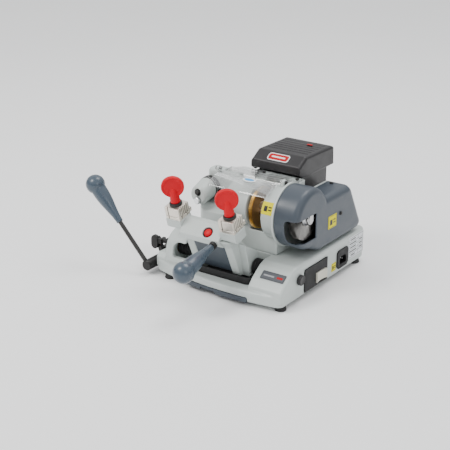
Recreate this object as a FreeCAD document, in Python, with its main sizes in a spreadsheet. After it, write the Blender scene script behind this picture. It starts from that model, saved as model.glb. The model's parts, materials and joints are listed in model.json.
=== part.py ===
import FreeCAD, Part
import math
import os
import re
import Sketcher

# Key duplicating machine. Millimetres. Drawing axes: X to the operator's right, Y away from the
# operator, Z up from the table. Every sub-part is drawn in these axes and then shifted, so that
# the middle of the machine's footprint is the origin.

SIZES = {
    # shift from the drawing's zero to the middle of the footprint
    "shift_x": 73.34, "shift_y": 61.01,
    # base casting: a bowed front lip, a raised rear deck, a right leg and a left arm with an arch
    "base_left": -146, "base_right": 150, "base_rear": 160, "base_under": 10,
    "lip_top": 31, "lip_round": 4, "bow_radius": 604, "bow_x": 35, "bow_front": -161.5,
    "corner_round": 14, "deck_top": 72, "deck_front": -70.3, "deck_left": -94, "deck_round": 5,
    "ledge_top": 44, "ledge_front": -134, "base_wall": 6,
    "leg_left": 78, "leg_front": -152, "leg_knee_y": -98, "leg_slope_y": -112, "leg_slope_z": 67,
    "leg_foot_y": -137, "leg_foot_z": 49.5, "leg_toe_y": -149, "leg_toe_z": 38, "leg_round": 12,
    "arch_left": -122, "arch_right": -79, "arch_radius": 38, "arch_inner": 29, "arch_end": -112,
    "arch_mouth_left": -105, "arch_mouth_low": 44, "arch_mouth_high": 74,
    "recess_left": -58, "recess_front": -135, "recess_floor": 20, "recess_round": 20,
    "chute_left": 6, "chute_right": 60, "chute_front": -118, "chute_rear": -76,
    "bay_left": 118, "bay_front": -112, "bay_top": 60,
    # carriage shaft and its bushes
    "shaft_y": -97, "shaft_z": 54, "shaft_radius": 9, "shaft_left": -141, "shaft_right": 96,
    "bush_radius": 13, "bush_long": 14, "shaft_bore_end": 114, "run_gap": 0.05,
    "bellows_outer": 15.5, "bellows_inner": 10,
    # feet, underside plate, mat, chip tray
    "foot_radius": 11, "foot_left_x": -112, "foot_right_x": 139, "foot_front_y": -134,
    "foot_rear_y": 137, "foot_rear_left_x": -132,
    "plate_thick": 1.5, "plate_left": -118, "plate_right": 124, "plate_front": -44, "plate_rear": 154,
    "mat_thick": 2, "mat_top": 43, "tray_left": -60, "tray_right": 81, "tray_rear": -52, "tray_gap": 0.6,
    "tray_low": 8, "tray_high": 17, "tray_wall": 1.6, "tray_flange": 2.5, "tray_strip_rear": -150,
    "tray_notch_left": -23, "tray_notch_right": 11,
    # labels and side fittings
    "label_thick": 0.5, "name_left": 93, "name_long": 50, "name_high": 18,
    "rating_front": 92, "rating_rear": 151, "rating_low": 22, "rating_high": 67,
    "switch_front": -71, "switch_rear": 9, "switch_low": 14, "switch_high": 57, "switch_deep": 28,
    "rocker_front": -32, "rocker_rear": 6, "rocker_low": 17, "rocker_high": 39, "rocker_proud": 5,
    "inlet_front": 46, "inlet_rear": 89, "inlet_low": 17, "inlet_high": 55, "inlet_deep": 26,
    "side_knob_y": -90, "side_knob_z": 46, "side_knob_radius": 10, "side_knob_long": 8,
    # head casting and spindle
    "spindle_y": -45, "spindle_z": 149, "barrel_radius": 40, "drum_radius": 50, "slot_radius": 44,
    "head_left": -94, "cheek_right": -60, "slot_left": 27, "slot_right": 67, "column_right": 88,
    "head_right": 96, "head_rear": 12, "cheek_front": -37, "cheek_top": 201, "cheek_foot": 126,
    "spine_top": 199, "head_top_rear": -14, "rib_left": 4, "barrel_left": -24, "column_round": 16,
    "cheek_round": 8,
    "bearing_outer": 21, "bearing_wide": 12, "bearing_inner_x": 68, "bearing_outer_x": 83,
    "spindle_radius": 10, "arbor_radius": 8, "arbor_left": 23, "spindle_right": 146,
    "cutter_radius": 40, "cutter_left": 34, "cutter_wide": 6, "cutter_teeth": 40,
    "pulley_left": 104, "pulley_wide": 10, "driven_pulley_radius": 18, "drive_pulley_radius": 24,
    "brush_left": 122, "brush_wide": 16, "brush_radius": 42, "brush_hub_radius": 13,
    # belt cover and its back plate
    "cover_left": 100, "cover_right": 150, "cover_radius": 58, "cover_rim": 60, "cover_wall": 3,
    "cover_top": 176, "cover_top_rear": 90, "cover_under": 76, "cover_under_front": -15,
    "cover_round": 13, "window_left": 122, "window_rear": -34, "window_low": 110,
    "window_high": 158, "window_round": 9,
    # motor and its covers
    "motor_y": 70, "motor_z": 128, "motor_radius": 46, "motor_left": -12, "motor_right": 76,
    "rotor_radius": 19, "motor_shaft_radius": 7,
    "plinth_left": -20, "plinth_right": 80, "plinth_front": 14, "plinth_rear": 123,
    "plinth_top": 194, "sheet_wall": 3,
    "hood_left": -25, "hood_right": 84, "hood_front": 11, "hood_rear": 139, "hood_low": 194.5,
    "hood_nose": 219, "hood_break": 36, "hood_top": 234, "hood_round": 6,
    "groove_first": 52, "groove_pitch": 12.5, "groove_wide": 5, "groove_count": 7, "groove_margin": 9,
    "groove_deep": 2.2,
    # clear shield, its hinge and the clear strip behind it
    "shield_inner": 54, "shield_thick": 1.5, "shield_left": -57, "shield_right": 77,
    "shield_front_angle": 41, "hinge_y": -42, "hinge_z": 206, "lug_radius": 6, "lug_wide": 6,
    "strip_left": -55, "strip_right": 95.5, "strip_front": -33, "strip_rear": 9, "strip_thick": 2,
    # tracer
    "tracer_x": -84, "tracer_z": 164, "tracer_radius": 7, "tracer_tip": -86, "ring_radius": 22.5,
    "ring_front": -51, "nose_front": -82, "nose_rear_radius": 21, "nose_front_radius": 18.5,
    "nose_drop": 8, "lock_drop": 16, "lock_radius": 7, "lock_tip": -87,
    # carriage
    "clamp_left_x": -79, "clamp_spacing": 121, "clamp_y": -149, "clamp_z": 139.5, "clamp_lean": 15,
    "pad_half": 17, "pad_deep": 22, "pad_chamfer": 6, "pad_low": 119,
    "bridge_foot_y": -170, "bridge_foot_z": 117, "bridge_rise": 23,
    "bridge_rear": -134, "boss_radius": 17, "leg_left_x": -60, "leg_right_x": 27, "leg_wide": 17,
    "leg_bottom": 40, "leg_front_y": -124, "boss_right": 58, "window_top": 98, "panel_thick": 2.5,
    "button_x": -4, "button_y": -160.5, "button_z": 126.5, "button_tilt": 45,
    "button_radius": 8, "button_well": 10.5, "button_deep": 9,
    # clamps
    "jaw_half": 16, "lower_jaw_high": 6, "jaw_gap": 0.6, "jaws_high": 25, "jaw_nose": 6,
    "stud_radius": 5, "stud_deep": 15, "collar_radius": 11, "collar_high": 5, "knob_radius": 21.6,
    "knob_high": 63, "knob_thick": 10, "knob_neck": 7, "knob_yaw": 35,
    # front lever on the carriage
    "front_lever_x": 19, "front_lever_y": -171, "front_lever_z": 112, "front_lever_tilt": 104,
    "front_ball_at": 95, "front_ball_radius": 20, "front_rod_radius": 5,
    # side lever with its crank, and the link that shifts the shaft
    "pivot_x": -158, "pivot_z": 19, "hub_front": -152, "hub_rear": -110, "hub_radius": 10.5,
    "pin_radius": 5, "crank_front": -99, "crank_rear": -91, "crank_x": -172, "crank_z": 54,
    "crank_pin_radius": 3.5, "side_lever_y": -145, "side_lever_tilt": -42.5, "side_rod_radius": 4.2,
    "side_grip_at": 100, "side_ball_at": 189, "side_ball_radius": 19,
    "link_slot_half": 4.8, "link_half": 8, "link_low": 37, "link_high": 65,
}

doc = FreeCAD.newDocument("KeyDuplicator")
sheet = doc.addObject("Spreadsheet::Sheet", "Sizes")
for row, (alias, number) in enumerate(SIZES.items(), 1):
    sheet.set("A%d" % row, alias)
    sheet.set("B%d" % row, str(number))
    sheet.setAlias("B%d" % row, alias)
doc.recompute()

V = FreeCAD.Vector
PARTS = []


# ---- drawing helpers ------------------------------------------------------------------------

def bound(text):
    """An expression whose plain size names are cells of the sheet."""
    def cell(match):
        return "Sizes." + match.group(0) if match.group(0) in SIZES else match.group(0)
    return re.sub(r"[a-z][a-z_]*", cell, str(text))


def value(text):
    return float(sheet.evalExpression(bound(text)))


def place(thing, at, axis=None, angle="0"):
    """Binds a placement: a point in the drawing axes, and a turn about an axis."""
    if axis:
        thing.Placement = FreeCAD.Placement(V(), FreeCAD.Rotation(V(*axis), value(angle)))
        thing.setExpression(".Placement.Rotation.Angle", bound(angle))
    for letter, shift, coordinate in zip("xyz", ("shift_x", "shift_y", "0"), at):
        thing.setExpression(".Placement.Base." + letter, bound("%s + %s" % (shift, coordinate)))


def new_body(name, at=("0", "0", "0"), axis=None, angle="0", listed=True):
    body = doc.addObject("PartDesign::Body", name)
    body.Label = name
    body.AllowCompound = True
    place(body, at, axis, angle)
    if listed:
        PARTS.append(body)
    return body


def new_sketch(body, plane, level):
    sketch = body.newObject("Sketcher::SketchObject", body.Name + "_sketch")
    role = plane + "_Plane"
    support = [f for f in body.Origin.OriginFeatures if f.Role == role][0]
    sketch.AttachmentSupport = [(support, "")]
    sketch.MapMode = "FlatFace"
    sign = "-" if plane == "XZ" else ""
    sketch.setExpression(".AttachmentOffset.Base.z", bound("%s(%s)" % (sign, level)))
    return sketch


def fix_point(sketch, edge, vertex, x, y):
    for kind, text in (("DistanceX", x), ("DistanceY", y)):
        if text is not None:
            rule = Sketcher.Constraint(kind, -1, 1, edge, vertex, value(text))
            number = sketch.addConstraint(rule)
            sketch.setExpression("Constraints[%d]" % number, bound(text))


def draw_circle(sketch, x, y, radius):
    edge = sketch.addGeometry(Part.Circle(V(value(x), value(y)), V(0, 0, 1), value(radius)), False)
    fix_point(sketch, edge, 3, x, y)
    number = sketch.addConstraint(Sketcher.Constraint("Radius", edge, value(radius)))
    sketch.setExpression("Constraints[%d]" % number, bound(radius))


def draw_arc(sketch, start, end, centre, turn):
    """An arc from start to end. Its centre lies on the two ends' bisector, nearest to centre."""
    chord = end - start
    across = V(-chord.y, chord.x, 0).normalize()
    middle = (start + end) * 0.5
    centre = middle + across * (centre - middle).dot(across)
    first, last = (start, end) if turn > 0 else (end, start)
    angles = [math.atan2(p.y - centre.y, p.x - centre.x) for p in (first, last)]
    circle = Part.Circle(centre, V(0, 0, 1), (start - centre).Length)
    edge = sketch.addGeometry(Part.ArcOfCircle(circle, angles[0], angles[1]), False)
    ends = (1, 2) if turn > 0 else (2, 1)
    return edge, ends, abs(across.x) > abs(across.y)


def draw_loop(sketch, corners):
    """A closed outline. A corner is (x, y), or (x, y, centre x, centre y, turn) before an arc."""
    points = [V(value(c[0]), value(c[1]), 0) for c in corners]
    edges = []
    for i, corner in enumerate(corners):
        start, end = points[i], points[(i + 1) % len(points)]
        if len(corner) == 2:
            edges.append((sketch.addGeometry(Part.LineSegment(start, end), False), (1, 2)))
            continue
        centre = V(value(corner[2]), value(corner[3]), 0)
        edge, ends, fix_x = draw_arc(sketch, start, end, centre, corner[4])
        edges.append((edge, ends))
        fix_point(sketch, edge, 3, corner[2] if fix_x else None, None if fix_x else corner[3])
    for i, corner in enumerate(corners):
        edge, ends = edges[i]
        before, before_ends = edges[i - 1]
        sketch.addConstraint(Sketcher.Constraint("Coincident", before, before_ends[1], edge, ends[0]))
        fix_point(sketch, edge, ends[0], corner[0], corner[1])


def draw(sketch, shapes):
    for shape in shapes:
        if shape[0] == "circle":
            draw_circle(sketch, *shape[1:])
        else:
            draw_loop(sketch, shape)


def disc(x, y, radius):
    return ("circle", x, y, radius)


def box(left, right, low, high):
    return [(left, low), (right, low), (right, high), (left, high)]


def around(x, y, half):
    """A square outline about a point."""
    return box("%s - %s" % (x, half), "%s + %s" % (x, half),
               "%s - %s" % (y, half), "%s + %s" % (y, half))


def pad(body, plane, low, high, *shapes):
    """Adds the shapes, extruded from low to high along the axis that the plane faces."""
    sketch = new_sketch(body, plane, high if plane == "XZ" else low)
    draw(sketch, shapes)
    feature = body.newObject("PartDesign::Pad", body.Name + "_pad")
    feature.Profile = sketch
    feature.setExpression("Length", bound("(%s) - (%s)" % (high, low)))
    sketch.Visibility = False
    return feature


def check_cut(body, feature, before):
    doc.recompute()
    if not feature.Shape.Volume < before - 1e-3:
        raise ValueError("%s: %s cuts nothing" % (body.Label, feature.Label))


def pocket(body, plane, low, high, *shapes):
    """Removes the shapes, extruded from low to high along the axis that the plane faces."""
    doc.recompute()
    before = body.Tip.Shape.Volume
    sketch = new_sketch(body, plane, low if plane == "XZ" else high)
    draw(sketch, shapes)
    feature = body.newObject("PartDesign::Pocket", body.Name + "_pocket")
    feature.Profile = sketch
    feature.setExpression("Length", bound("(%s) - (%s)" % (high, low)))
    check_cut(body, feature, before)
    return feature


def turned(body, axis, at, corners, cut=False):
    """Adds or cuts a turned shape. A corner is (along, radius), or (along, radius, centre along,
    centre radius, turn) before an arc. at gives the other two coordinates of the axis."""
    if cut:
        doc.recompute()
        before = body.Tip.Shape.Volume
    plane = {"X": "XY", "Y": "YZ", "Z": "XZ"}[axis]
    offsets = {"X": ("0", at[0], at[1]), "Y": ("0", at[1], at[0]), "Z": (at[0], "0", at[1])}[axis]
    sketch = new_sketch(body, plane, offsets[2])
    sketch.setExpression(".AttachmentOffset.Base.x", bound(offsets[0]))
    sketch.setExpression(".AttachmentOffset.Base.y", bound(offsets[1]))
    if axis == "Z":
        corners = [(c[1], c[0]) if len(c) == 2 else (c[1], c[0], c[3], c[2], -c[4]) for c in corners]
    draw(sketch, [corners])
    kind = "Groove" if cut else "Revolution"
    feature = body.newObject("PartDesign::" + kind, body.Name + "_turned")
    feature.Profile = sketch
    feature.ReferenceAxis = (sketch, ["V_Axis" if axis == "Z" else "H_Axis"])
    feature.Angle = 360
    if cut:
        check_cut(body, feature, before)
    return feature


def rod(body, axis, at, low, high, radius):
    return turned(body, axis, at, [(low, "0"), (high, "0"), (high, radius), (low, radius)])


def tube(body, axis, at, low, high, inner, outer):
    return turned(body, axis, at, [(low, inner), (high, inner), (high, outer), (low, outer)])


def rounded(body, radius, low, high, axis=None):
    """Rounds the newest feature's edges that lie inside the box from low to high."""
    doc.recompute()
    base = body.Tip
    limits = [value(text) for text in low + high]
    names = []
    for number, edge in enumerate(base.Shape.Edges, 1):
        b = edge.BoundBox
        inside = (b.XMin >= limits[0] and b.YMin >= limits[1] and b.ZMin >= limits[2]
                  and b.XMax <= limits[3] and b.YMax <= limits[4] and b.ZMax <= limits[5])
        lengths = {"X": b.XLength, "Y": b.YLength, "Z": b.ZLength}
        if inside and (axis is None or lengths[axis] > 0.98 * edge.Length):
            names.append("Edge%d" % number)
    if not names:
        raise ValueError(body.Label + ": no edge to round")
    feature = body.newObject("PartDesign::Fillet", body.Name + "_round")
    feature.Base = (base, names)
    feature.setExpression("Radius", bound(radius))
    doc.recompute()
    if "Invalid" in feature.State or not feature.Shape.isValid():
        raise ValueError("%s: fillet failed" % body.Label)
    return feature


def under_circle(y, radius, centre_y="spindle_y", centre_z="spindle_z", sign="+"):
    """The height at which a circle about an axis along X passes a given y."""
    return "%s %s sqrt((%s)^2 - (%s - (%s))^2)" % (centre_z, sign, radius, y, centre_y)


# ---- base -----------------------------------------------------------------------------------

def bow(x):
    """The front edge of the base at x."""
    return "bow_front + bow_radius - sqrt(bow_radius^2 - ((%s) - bow_x)^2)" % x


def base_casting():
    body = new_body("base_casting")
    centre = ("bow_x", "bow_front + bow_radius")
    plan = [("base_left", bow("base_left")) + centre + (1,), ("base_right", bow("base_right")),
            ("base_right", "base_rear"), ("base_left", "base_rear")]
    pad(body, "XY", "base_under", "lip_top", plan)
    rounded(body, "corner_round", ("-999", "-999", "-999"), ("999", "999", "999"), "Z")
    rounded(body, "lip_round", ("-999", "-999", "lip_top - 1"), ("999", "999", "lip_top + 1"))
    pad(body, "YZ", "base_left", "deck_left + 1",
        [("base_rear - 14", "base_under + 8"), ("base_rear - 14", "ledge_top"),
         ("ledge_front + 8", "ledge_top"), ("ledge_front", "ledge_top - 8"),
         ("ledge_front", "base_under + 8")])
    rear = "base_rear - corner_round"
    right = "base_right - corner_round"
    left = "deck_left + corner_round"
    pad(body, "XY", "base_under + 8", "deck_top",
        [("deck_left", "deck_front"), ("base_right", "deck_front"), ("base_right", rear, right, rear, 1),
         (right, "base_rear"), (left, "base_rear", left, rear, 1), ("deck_left", rear)])
    pad(body, "YZ", "leg_left", "base_right",
        [("deck_front + 1", "base_under + 8"), ("deck_front + 1", "deck_top"), ("leg_knee_y", "deck_top"),
         ("leg_slope_y", "leg_slope_z"), ("leg_foot_y", "leg_foot_z"), ("leg_toe_y", "leg_toe_z"),
         ("leg_front", "lip_top - 2"), ("leg_front", "base_under + 8")])
    rounded(body, "leg_round", ("leg_left - 1", "leg_foot_y - 1", "leg_foot_z - 1"),
            ("base_right + 1", "leg_knee_y + 1", "deck_top + 1"), "X")
    rounded(body, "deck_round", ("-999", "base_rear - 1", "deck_top - 1"),
            ("999", "base_rear + 1", "deck_top + 1"))
    left_of_shaft = "shaft_y - arch_radius"
    right_of_shaft = "shaft_y + arch_radius"
    pad(body, "YZ", "arch_left", "arch_right",
        [(left_of_shaft, "base_under + 8"), (left_of_shaft, "shaft_z", "shaft_y", "shaft_z", -1),
         (right_of_shaft, "shaft_z"), (right_of_shaft, "base_under + 8")])
    cut_base_casting(body)
    return body


def cut_base_casting(body):
    pocket(body, "YZ", "arch_end", "arch_right", disc("shaft_y", "shaft_z", "arch_inner"))
    pocket(body, "XZ", "shaft_y - arch_radius - 1", "shaft_y",
           [("arch_mouth_left", "arch_mouth_low"), ("arch_right + 1", "arch_mouth_low"),
            ("arch_right + 1", "arch_mouth_high"),
            ("arch_mouth_left + 12", "arch_mouth_high",
             "arch_mouth_left + 12", "arch_mouth_high - 12", 1),
            ("arch_mouth_left", "arch_mouth_high - 12")])
    pocket(body, "XY", "recess_floor", "lip_top + 1",
           [("recess_left", "recess_front"),
            ("leg_left - recess_round", "recess_front",
             "leg_left - recess_round", "recess_front + recess_round", 1),
            ("leg_left", "recess_front + recess_round"),
            ("leg_left", "deck_front"), ("recess_left", "deck_front")])
    pocket(body, "XY", "base_under - 1", "ledge_top - base_wall",
           box("base_left + base_wall", "bay_left - 2", "deck_front + base_wall", "base_rear - 20"))
    pocket(body, "XY", "base_under - 1", "deck_top - base_wall",
           box("deck_left + base_wall", "base_right - base_wall", "deck_front + base_wall",
               "base_rear - base_wall - 8"))
    pocket(body, "XY", "base_under - 1", "bay_top",
           box("bay_left", "base_right - base_wall", "bay_front", "deck_front + base_wall + 1"))
    left, right, rear = "tray_left - tray_gap", "tray_right + tray_gap", "deck_front + base_wall + 1"
    pocket(body, "XY", "base_under - 1", "tray_high + tray_gap",
           box(left, right, "bow_front - 14", "tray_strip_rear + 1"))
    pocket(body, "XY", "base_under - 1", "tray_high + tray_gap",
           box(left + " + tray_flange", right + " - tray_flange", "tray_strip_rear", rear))
    pocket(body, "XY", "tray_high - 2 - run_gap", "tray_high + tray_gap",
           box(left, right, "tray_strip_rear", rear))
    pocket(body, "XY", "tray_high", "recess_floor + 1",
           box("chute_left", "chute_right", "chute_front", "chute_rear"))
    pocket(body, "YZ", "arch_left - 1", "arch_end + 1", disc("shaft_y", "shaft_z", "bush_radius"))
    pocket(body, "YZ", "leg_left - 1", "leg_left + bush_long", disc("shaft_y", "shaft_z", "bush_radius"))
    pocket(body, "YZ", "leg_left + bush_long - 1", "shaft_bore_end",
           disc("shaft_y", "shaft_z", "shaft_radius + 1"))
    pocket(body, "YZ", "base_right - base_wall - 1", "base_right + 1",
           box("switch_front", "switch_rear", "switch_low", "switch_high"),
           box("inlet_front + 3", "inlet_rear - 3", "inlet_low + 3", "inlet_high - 3"),
           disc("side_knob_y", "side_knob_z", "4"))


def base_trim():
    feet = new_body("rubber_feet")
    spots = [("foot_left_x", "foot_front_y"), ("foot_right_x", "foot_front_y"),
             ("foot_right_x", "foot_rear_y"), ("foot_rear_left_x", "foot_rear_y")]
    for x, y in spots:
        turned(feet, "Z", (x, y), [("0", "0"), ("0", "foot_radius - 1"), ("1", "foot_radius"),
                                   ("base_under", "foot_radius - 2"), ("base_under", "0")])
    plate = new_body("bottom_plate")
    pad(plate, "XY", "base_under - plate_thick", "base_under",
        box("plate_left", "plate_right", "plate_front", "plate_rear"),
        *[disc("0", y, "6") for y in ("20", "50", "80", "110")])
    mat = new_body("swarf_mat")
    right = "leg_left - 0.5"
    round_at = ("leg_left - recess_round", "recess_front + recess_round")
    pad(mat, "XY", "recess_floor", "recess_floor + mat_thick",
        [("recess_left + 0.5", "recess_front + 0.5"),
         (round_at[0], "recess_front + 0.5") + round_at + (1,), (right, round_at[1]),
         (right, "deck_front - 0.5"), ("recess_left + 0.5", "deck_front - 0.5")],
        box("chute_left", "chute_right", "chute_front", "chute_rear"))
    pad(mat, "XY", "recess_floor + mat_thick", "mat_top",
        [("recess_left + 0.5", "recess_front + 0.5"),
         (round_at[0], "recess_front + 0.5") + round_at + (1,), (right, round_at[1]),
         (right, "shaft_y - 16"), ("leg_left - 3.5", "shaft_y - 16"),
         ("leg_left - 3.5", round_at[1]) + round_at + (-1,), (round_at[0], "recess_front + 3.5"),
         ("recess_left + 0.5", "recess_front + 3.5")])


def chip_tray():
    """A tray behind a bowed front strip. Its top flanges slide on rails cut in the base."""
    body = new_body("chip_tray")
    front = ("bow_x", "bow_front + bow_radius")
    pad(body, "XY", "tray_low", "tray_high",
        [("tray_left", bow("tray_left") + " - 0.4") + front + (1,),
         ("tray_right", bow("tray_right") + " - 0.4"), ("tray_right", "tray_strip_rear"),
         ("tray_left", "tray_strip_rear")])
    pad(body, "XY", "base_under + 0.5", "tray_high",
        box("tray_left + tray_flange", "tray_right - tray_flange", "tray_strip_rear - 0.5", "tray_rear"))
    pad(body, "XY", "tray_high - 2", "tray_high",
        box("tray_left", "tray_right", "tray_strip_rear - 0.5", "tray_rear"))
    inset = "(tray_flange + tray_wall)"
    pocket(body, "XY", "base_under + 0.5 + tray_wall", "tray_high + 1",
           box("tray_left + " + inset, "tray_right - " + inset,
               "tray_strip_rear + 2", "tray_rear - tray_wall"))
    pocket(body, "XZ", "bow_front - 9", "bow_front + 6",
           box("tray_notch_left", "tray_notch_right", "tray_low - 1", "base_under + 3"))


def labels():
    name = new_body("name_plate", ("name_left", "leg_foot_y", "leg_foot_z"), (1, 0, 0),
                    "atan((leg_slope_z - leg_foot_z) / (leg_slope_y - leg_foot_y))")
    pad(name, "XY", "0.05", "1", box("0", "name_long", "3", "3 + name_high"))
    rating = new_body("rating_plate")
    pad(rating, "YZ", "base_right", "base_right + label_thick",
        box("rating_front", "rating_rear", "rating_low", "rating_high"))
    yellow = new_body("yellow_labels")
    pad(yellow, "YZ", "base_right", "base_right + label_thick", box("27", "44", "18", "36"))
    pad(yellow, "YZ", "cover_right", "cover_right + label_thick", box("9", "40", "111", "137"))
    inner = "drum_radius + 0.05"
    outer = "drum_radius + label_thick"
    corners = []
    for radius, angles, turn in ((outer, (10, 38), -1), (inner, (38, 10), 1)):
        for n, angle in enumerate(angles):
            y = "spindle_y - (%s) * cos(%s)" % (radius, angle)
            z = "spindle_z + (%s) * sin(%s)" % (radius, angle)
            corners.append((y, z, "spindle_y", "spindle_z", turn) if n == 0 else (y, z))
    pad(yellow, "YZ", "slot_right + 1", "slot_right + 25", corners)


def side_fittings():
    housing = new_body("switch_housing")
    pad(housing, "YZ", "base_right - switch_deep", "base_right + 0.2",
        box("switch_front + 0.3", "switch_rear - 0.3", "switch_low + 0.3", "switch_high - 0.3"))
    pad(housing, "YZ", "base_right + 0.2", "base_right + 1.6",
        box("switch_front - 1", "switch_rear + 1", "switch_low - 1", "switch_high + 1"))
    pocket(housing, "YZ", "base_right - 14", "base_right + 2",
           box("rocker_front", "rocker_rear", "rocker_low", "rocker_high"))
    rocker = new_body("power_rocker")
    pad(rocker, "YZ", "base_right - 8", "base_right + rocker_proud",
        box("rocker_front + 0.8", "rocker_rear - 0.8", "rocker_low + 1.6", "rocker_high - 1.6"))
    inlet = new_body("mains_inlet")
    cut = "6"
    flange = [("inlet_front + " + cut, "inlet_low"), ("inlet_rear - " + cut, "inlet_low"),
              ("inlet_rear", "inlet_low + " + cut), ("inlet_rear", "inlet_high - " + cut),
              ("inlet_rear - " + cut, "inlet_high"), ("inlet_front + " + cut, "inlet_high"),
              ("inlet_front", "inlet_high - " + cut), ("inlet_front", "inlet_low + " + cut)]
    pad(inlet, "YZ", "base_right", "base_right + 2.5", flange)
    pad(inlet, "YZ", "base_right - inlet_deep", "base_right",
        box("inlet_front + 3.3", "inlet_rear - 3.3", "inlet_low + 3.3", "inlet_high - 3.3"))
    middle = "(inlet_front + inlet_rear) / 2"
    pocket(inlet, "YZ", "base_right - 16", "base_right + 3",
           [(middle + " - 12.2", "inlet_low + 8"), (middle + " + 12.2", "inlet_low + 8"),
            (middle + " + 12.2", "inlet_low + 19"), (middle + " + 7.5", "inlet_low + 24"),
            (middle + " - 7.5", "inlet_low + 24"), (middle + " - 12.2", "inlet_low + 19")])
    for y, z in (("-7", "14"), ("7", "14"), ("0", "18.5")):
        pad(inlet, "YZ", "base_right - 16.5", "base_right - 3",
            box(middle + " + %s - 1" % y, middle + " + %s + 1" % y,
                "inlet_low + %s - 2" % z, "inlet_low + %s + 2" % z))
    knob = new_body("side_knob")
    at = ("side_knob_y", "side_knob_z")
    turned(knob, "X", at, [("base_right - 12", "0"), ("base_right + side_knob_long", "0"),
                           ("base_right + side_knob_long", "side_knob_radius - 2"),
                           ("base_right + side_knob_long - 2", "side_knob_radius"),
                           ("base_right + 2", "side_knob_radius"),
                           ("base_right + 0.4", "side_knob_radius - 2"),
                           ("base_right + 0.4", "3.9"), ("base_right - 12", "3.9")])


# ---- head -----------------------------------------------------------------------------------

def head_section(body, left, right, above_front):
    """One stretch of the head, with its foot on the deck."""
    pad(body, "YZ", left, right, [("head_rear", "deck_top"), ("deck_front", "deck_top")] + above_front)


def slim_rear(top):
    """The rear of the head's left half: it steps forward above the spindle's height."""
    return [("head_top_rear", top), ("head_top_rear", "spindle_z"), ("head_rear", "spindle_z - 30")]


def head_casting():
    body = new_body("head_casting")
    axis = ("spindle_y", "spindle_z")
    cheek = [("deck_front", "cheek_foot"), ("deck_front + 14", "cheek_foot + 12"),
             ("cheek_front", "cheek_foot + 14")]
    barrel = [("deck_front", under_circle("deck_front", "barrel_radius", sign="-")) + axis + (-1,),
              ("spindle_y", "spindle_z + barrel_radius")]
    barrel_top = "spindle_z + barrel_radius"
    head_section(body, "head_left", "cheek_right",
                 cheek + [("cheek_front", "cheek_top")] + slim_rear("cheek_top"))
    head_section(body, "cheek_right", "barrel_left",
                 cheek + [("cheek_front", "spine_top")] + slim_rear("spine_top"))
    head_section(body, "barrel_left", "rib_left", barrel + slim_rear(barrel_top))
    head_section(body, "rib_left", "slot_left",
                 barrel + [("spindle_y + 26", barrel_top), ("spindle_y + 32", "spine_top"),
                           ("head_rear", "spine_top")])
    head_section(body, "slot_left", "slot_right",
                 [("deck_front", under_circle("deck_front", "slot_radius", sign="-")) + axis + (1,),
                  ("spindle_y + slot_radius", "spindle_z"), ("spindle_y + slot_radius", "spine_top"),
                  ("head_rear", "spine_top")])
    head_section(body, "slot_right", "column_right",
                 [("deck_front", under_circle("deck_front", "drum_radius", sign="-")) + axis + (-1,),
                  ("spindle_y", "spine_top"), ("head_rear", "spine_top")])
    pad(body, "YZ", "column_right", "head_right",
        [("head_rear", "spindle_z - drum_radius"), ("spindle_y", "spindle_z - drum_radius") + axis + (-1,),
         ("spindle_y", "spine_top"), ("head_rear", "spine_top")])
    rounded(body, "column_round", ("head_left - 1", "deck_front - 1", "deck_top - 1"),
            ("head_left + 1", "deck_front + 1", "cheek_foot + 1"), "Z")
    rounded(body, "cheek_round", ("head_left - 1", "cheek_front - 1", "cheek_top - 1"),
            ("cheek_right + 1", "cheek_front + 1", "cheek_top + 1"), "X")
    rounded(body, "cheek_round", ("head_left - 1", "cheek_front - 1", "deck_top - 1"),
            ("head_left + 1", "head_rear + 1", "cheek_top + 1"))
    for left in ("cheek_right - lug_wide", "shield_right + 4"):
        pad(body, "YZ", left, left + " + lug_wide",
            [("hinge_y - lug_radius", "spine_top - 8"), ("hinge_y + lug_radius", "spine_top - 8"),
             ("hinge_y + lug_radius", "hinge_z", "hinge_y", "hinge_z", 1),
             ("hinge_y - lug_radius", "hinge_z")])
    cut_head_casting(body, axis)


def cut_head_casting(body, axis):
    pocket(body, "YZ", "slot_right - 1", "head_right + 1", disc(*axis, "bearing_outer"))
    pocket(body, "YZ", "slot_left - 7", "slot_left + 1", disc(*axis, "17"))
    pocket(body, "YZ", "head_left - 1", "arch_right + 0.1", disc("shaft_y", "shaft_z", "arch_radius + 0.1"))
    pocket(body, "YZ", "cheek_right - lug_wide - 1", "cheek_right + 1", disc("hinge_y", "hinge_z", "2.5"))
    pocket(body, "YZ", "shield_right + 3", "shield_right + 5 + lug_wide",
           disc("hinge_y", "hinge_z", "2.5"))
    pocket(body, "XZ", "cheek_front - 1", "cheek_front + 16",
           disc("tracer_x", "tracer_z", "tracer_radius + 0.6"))


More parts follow.
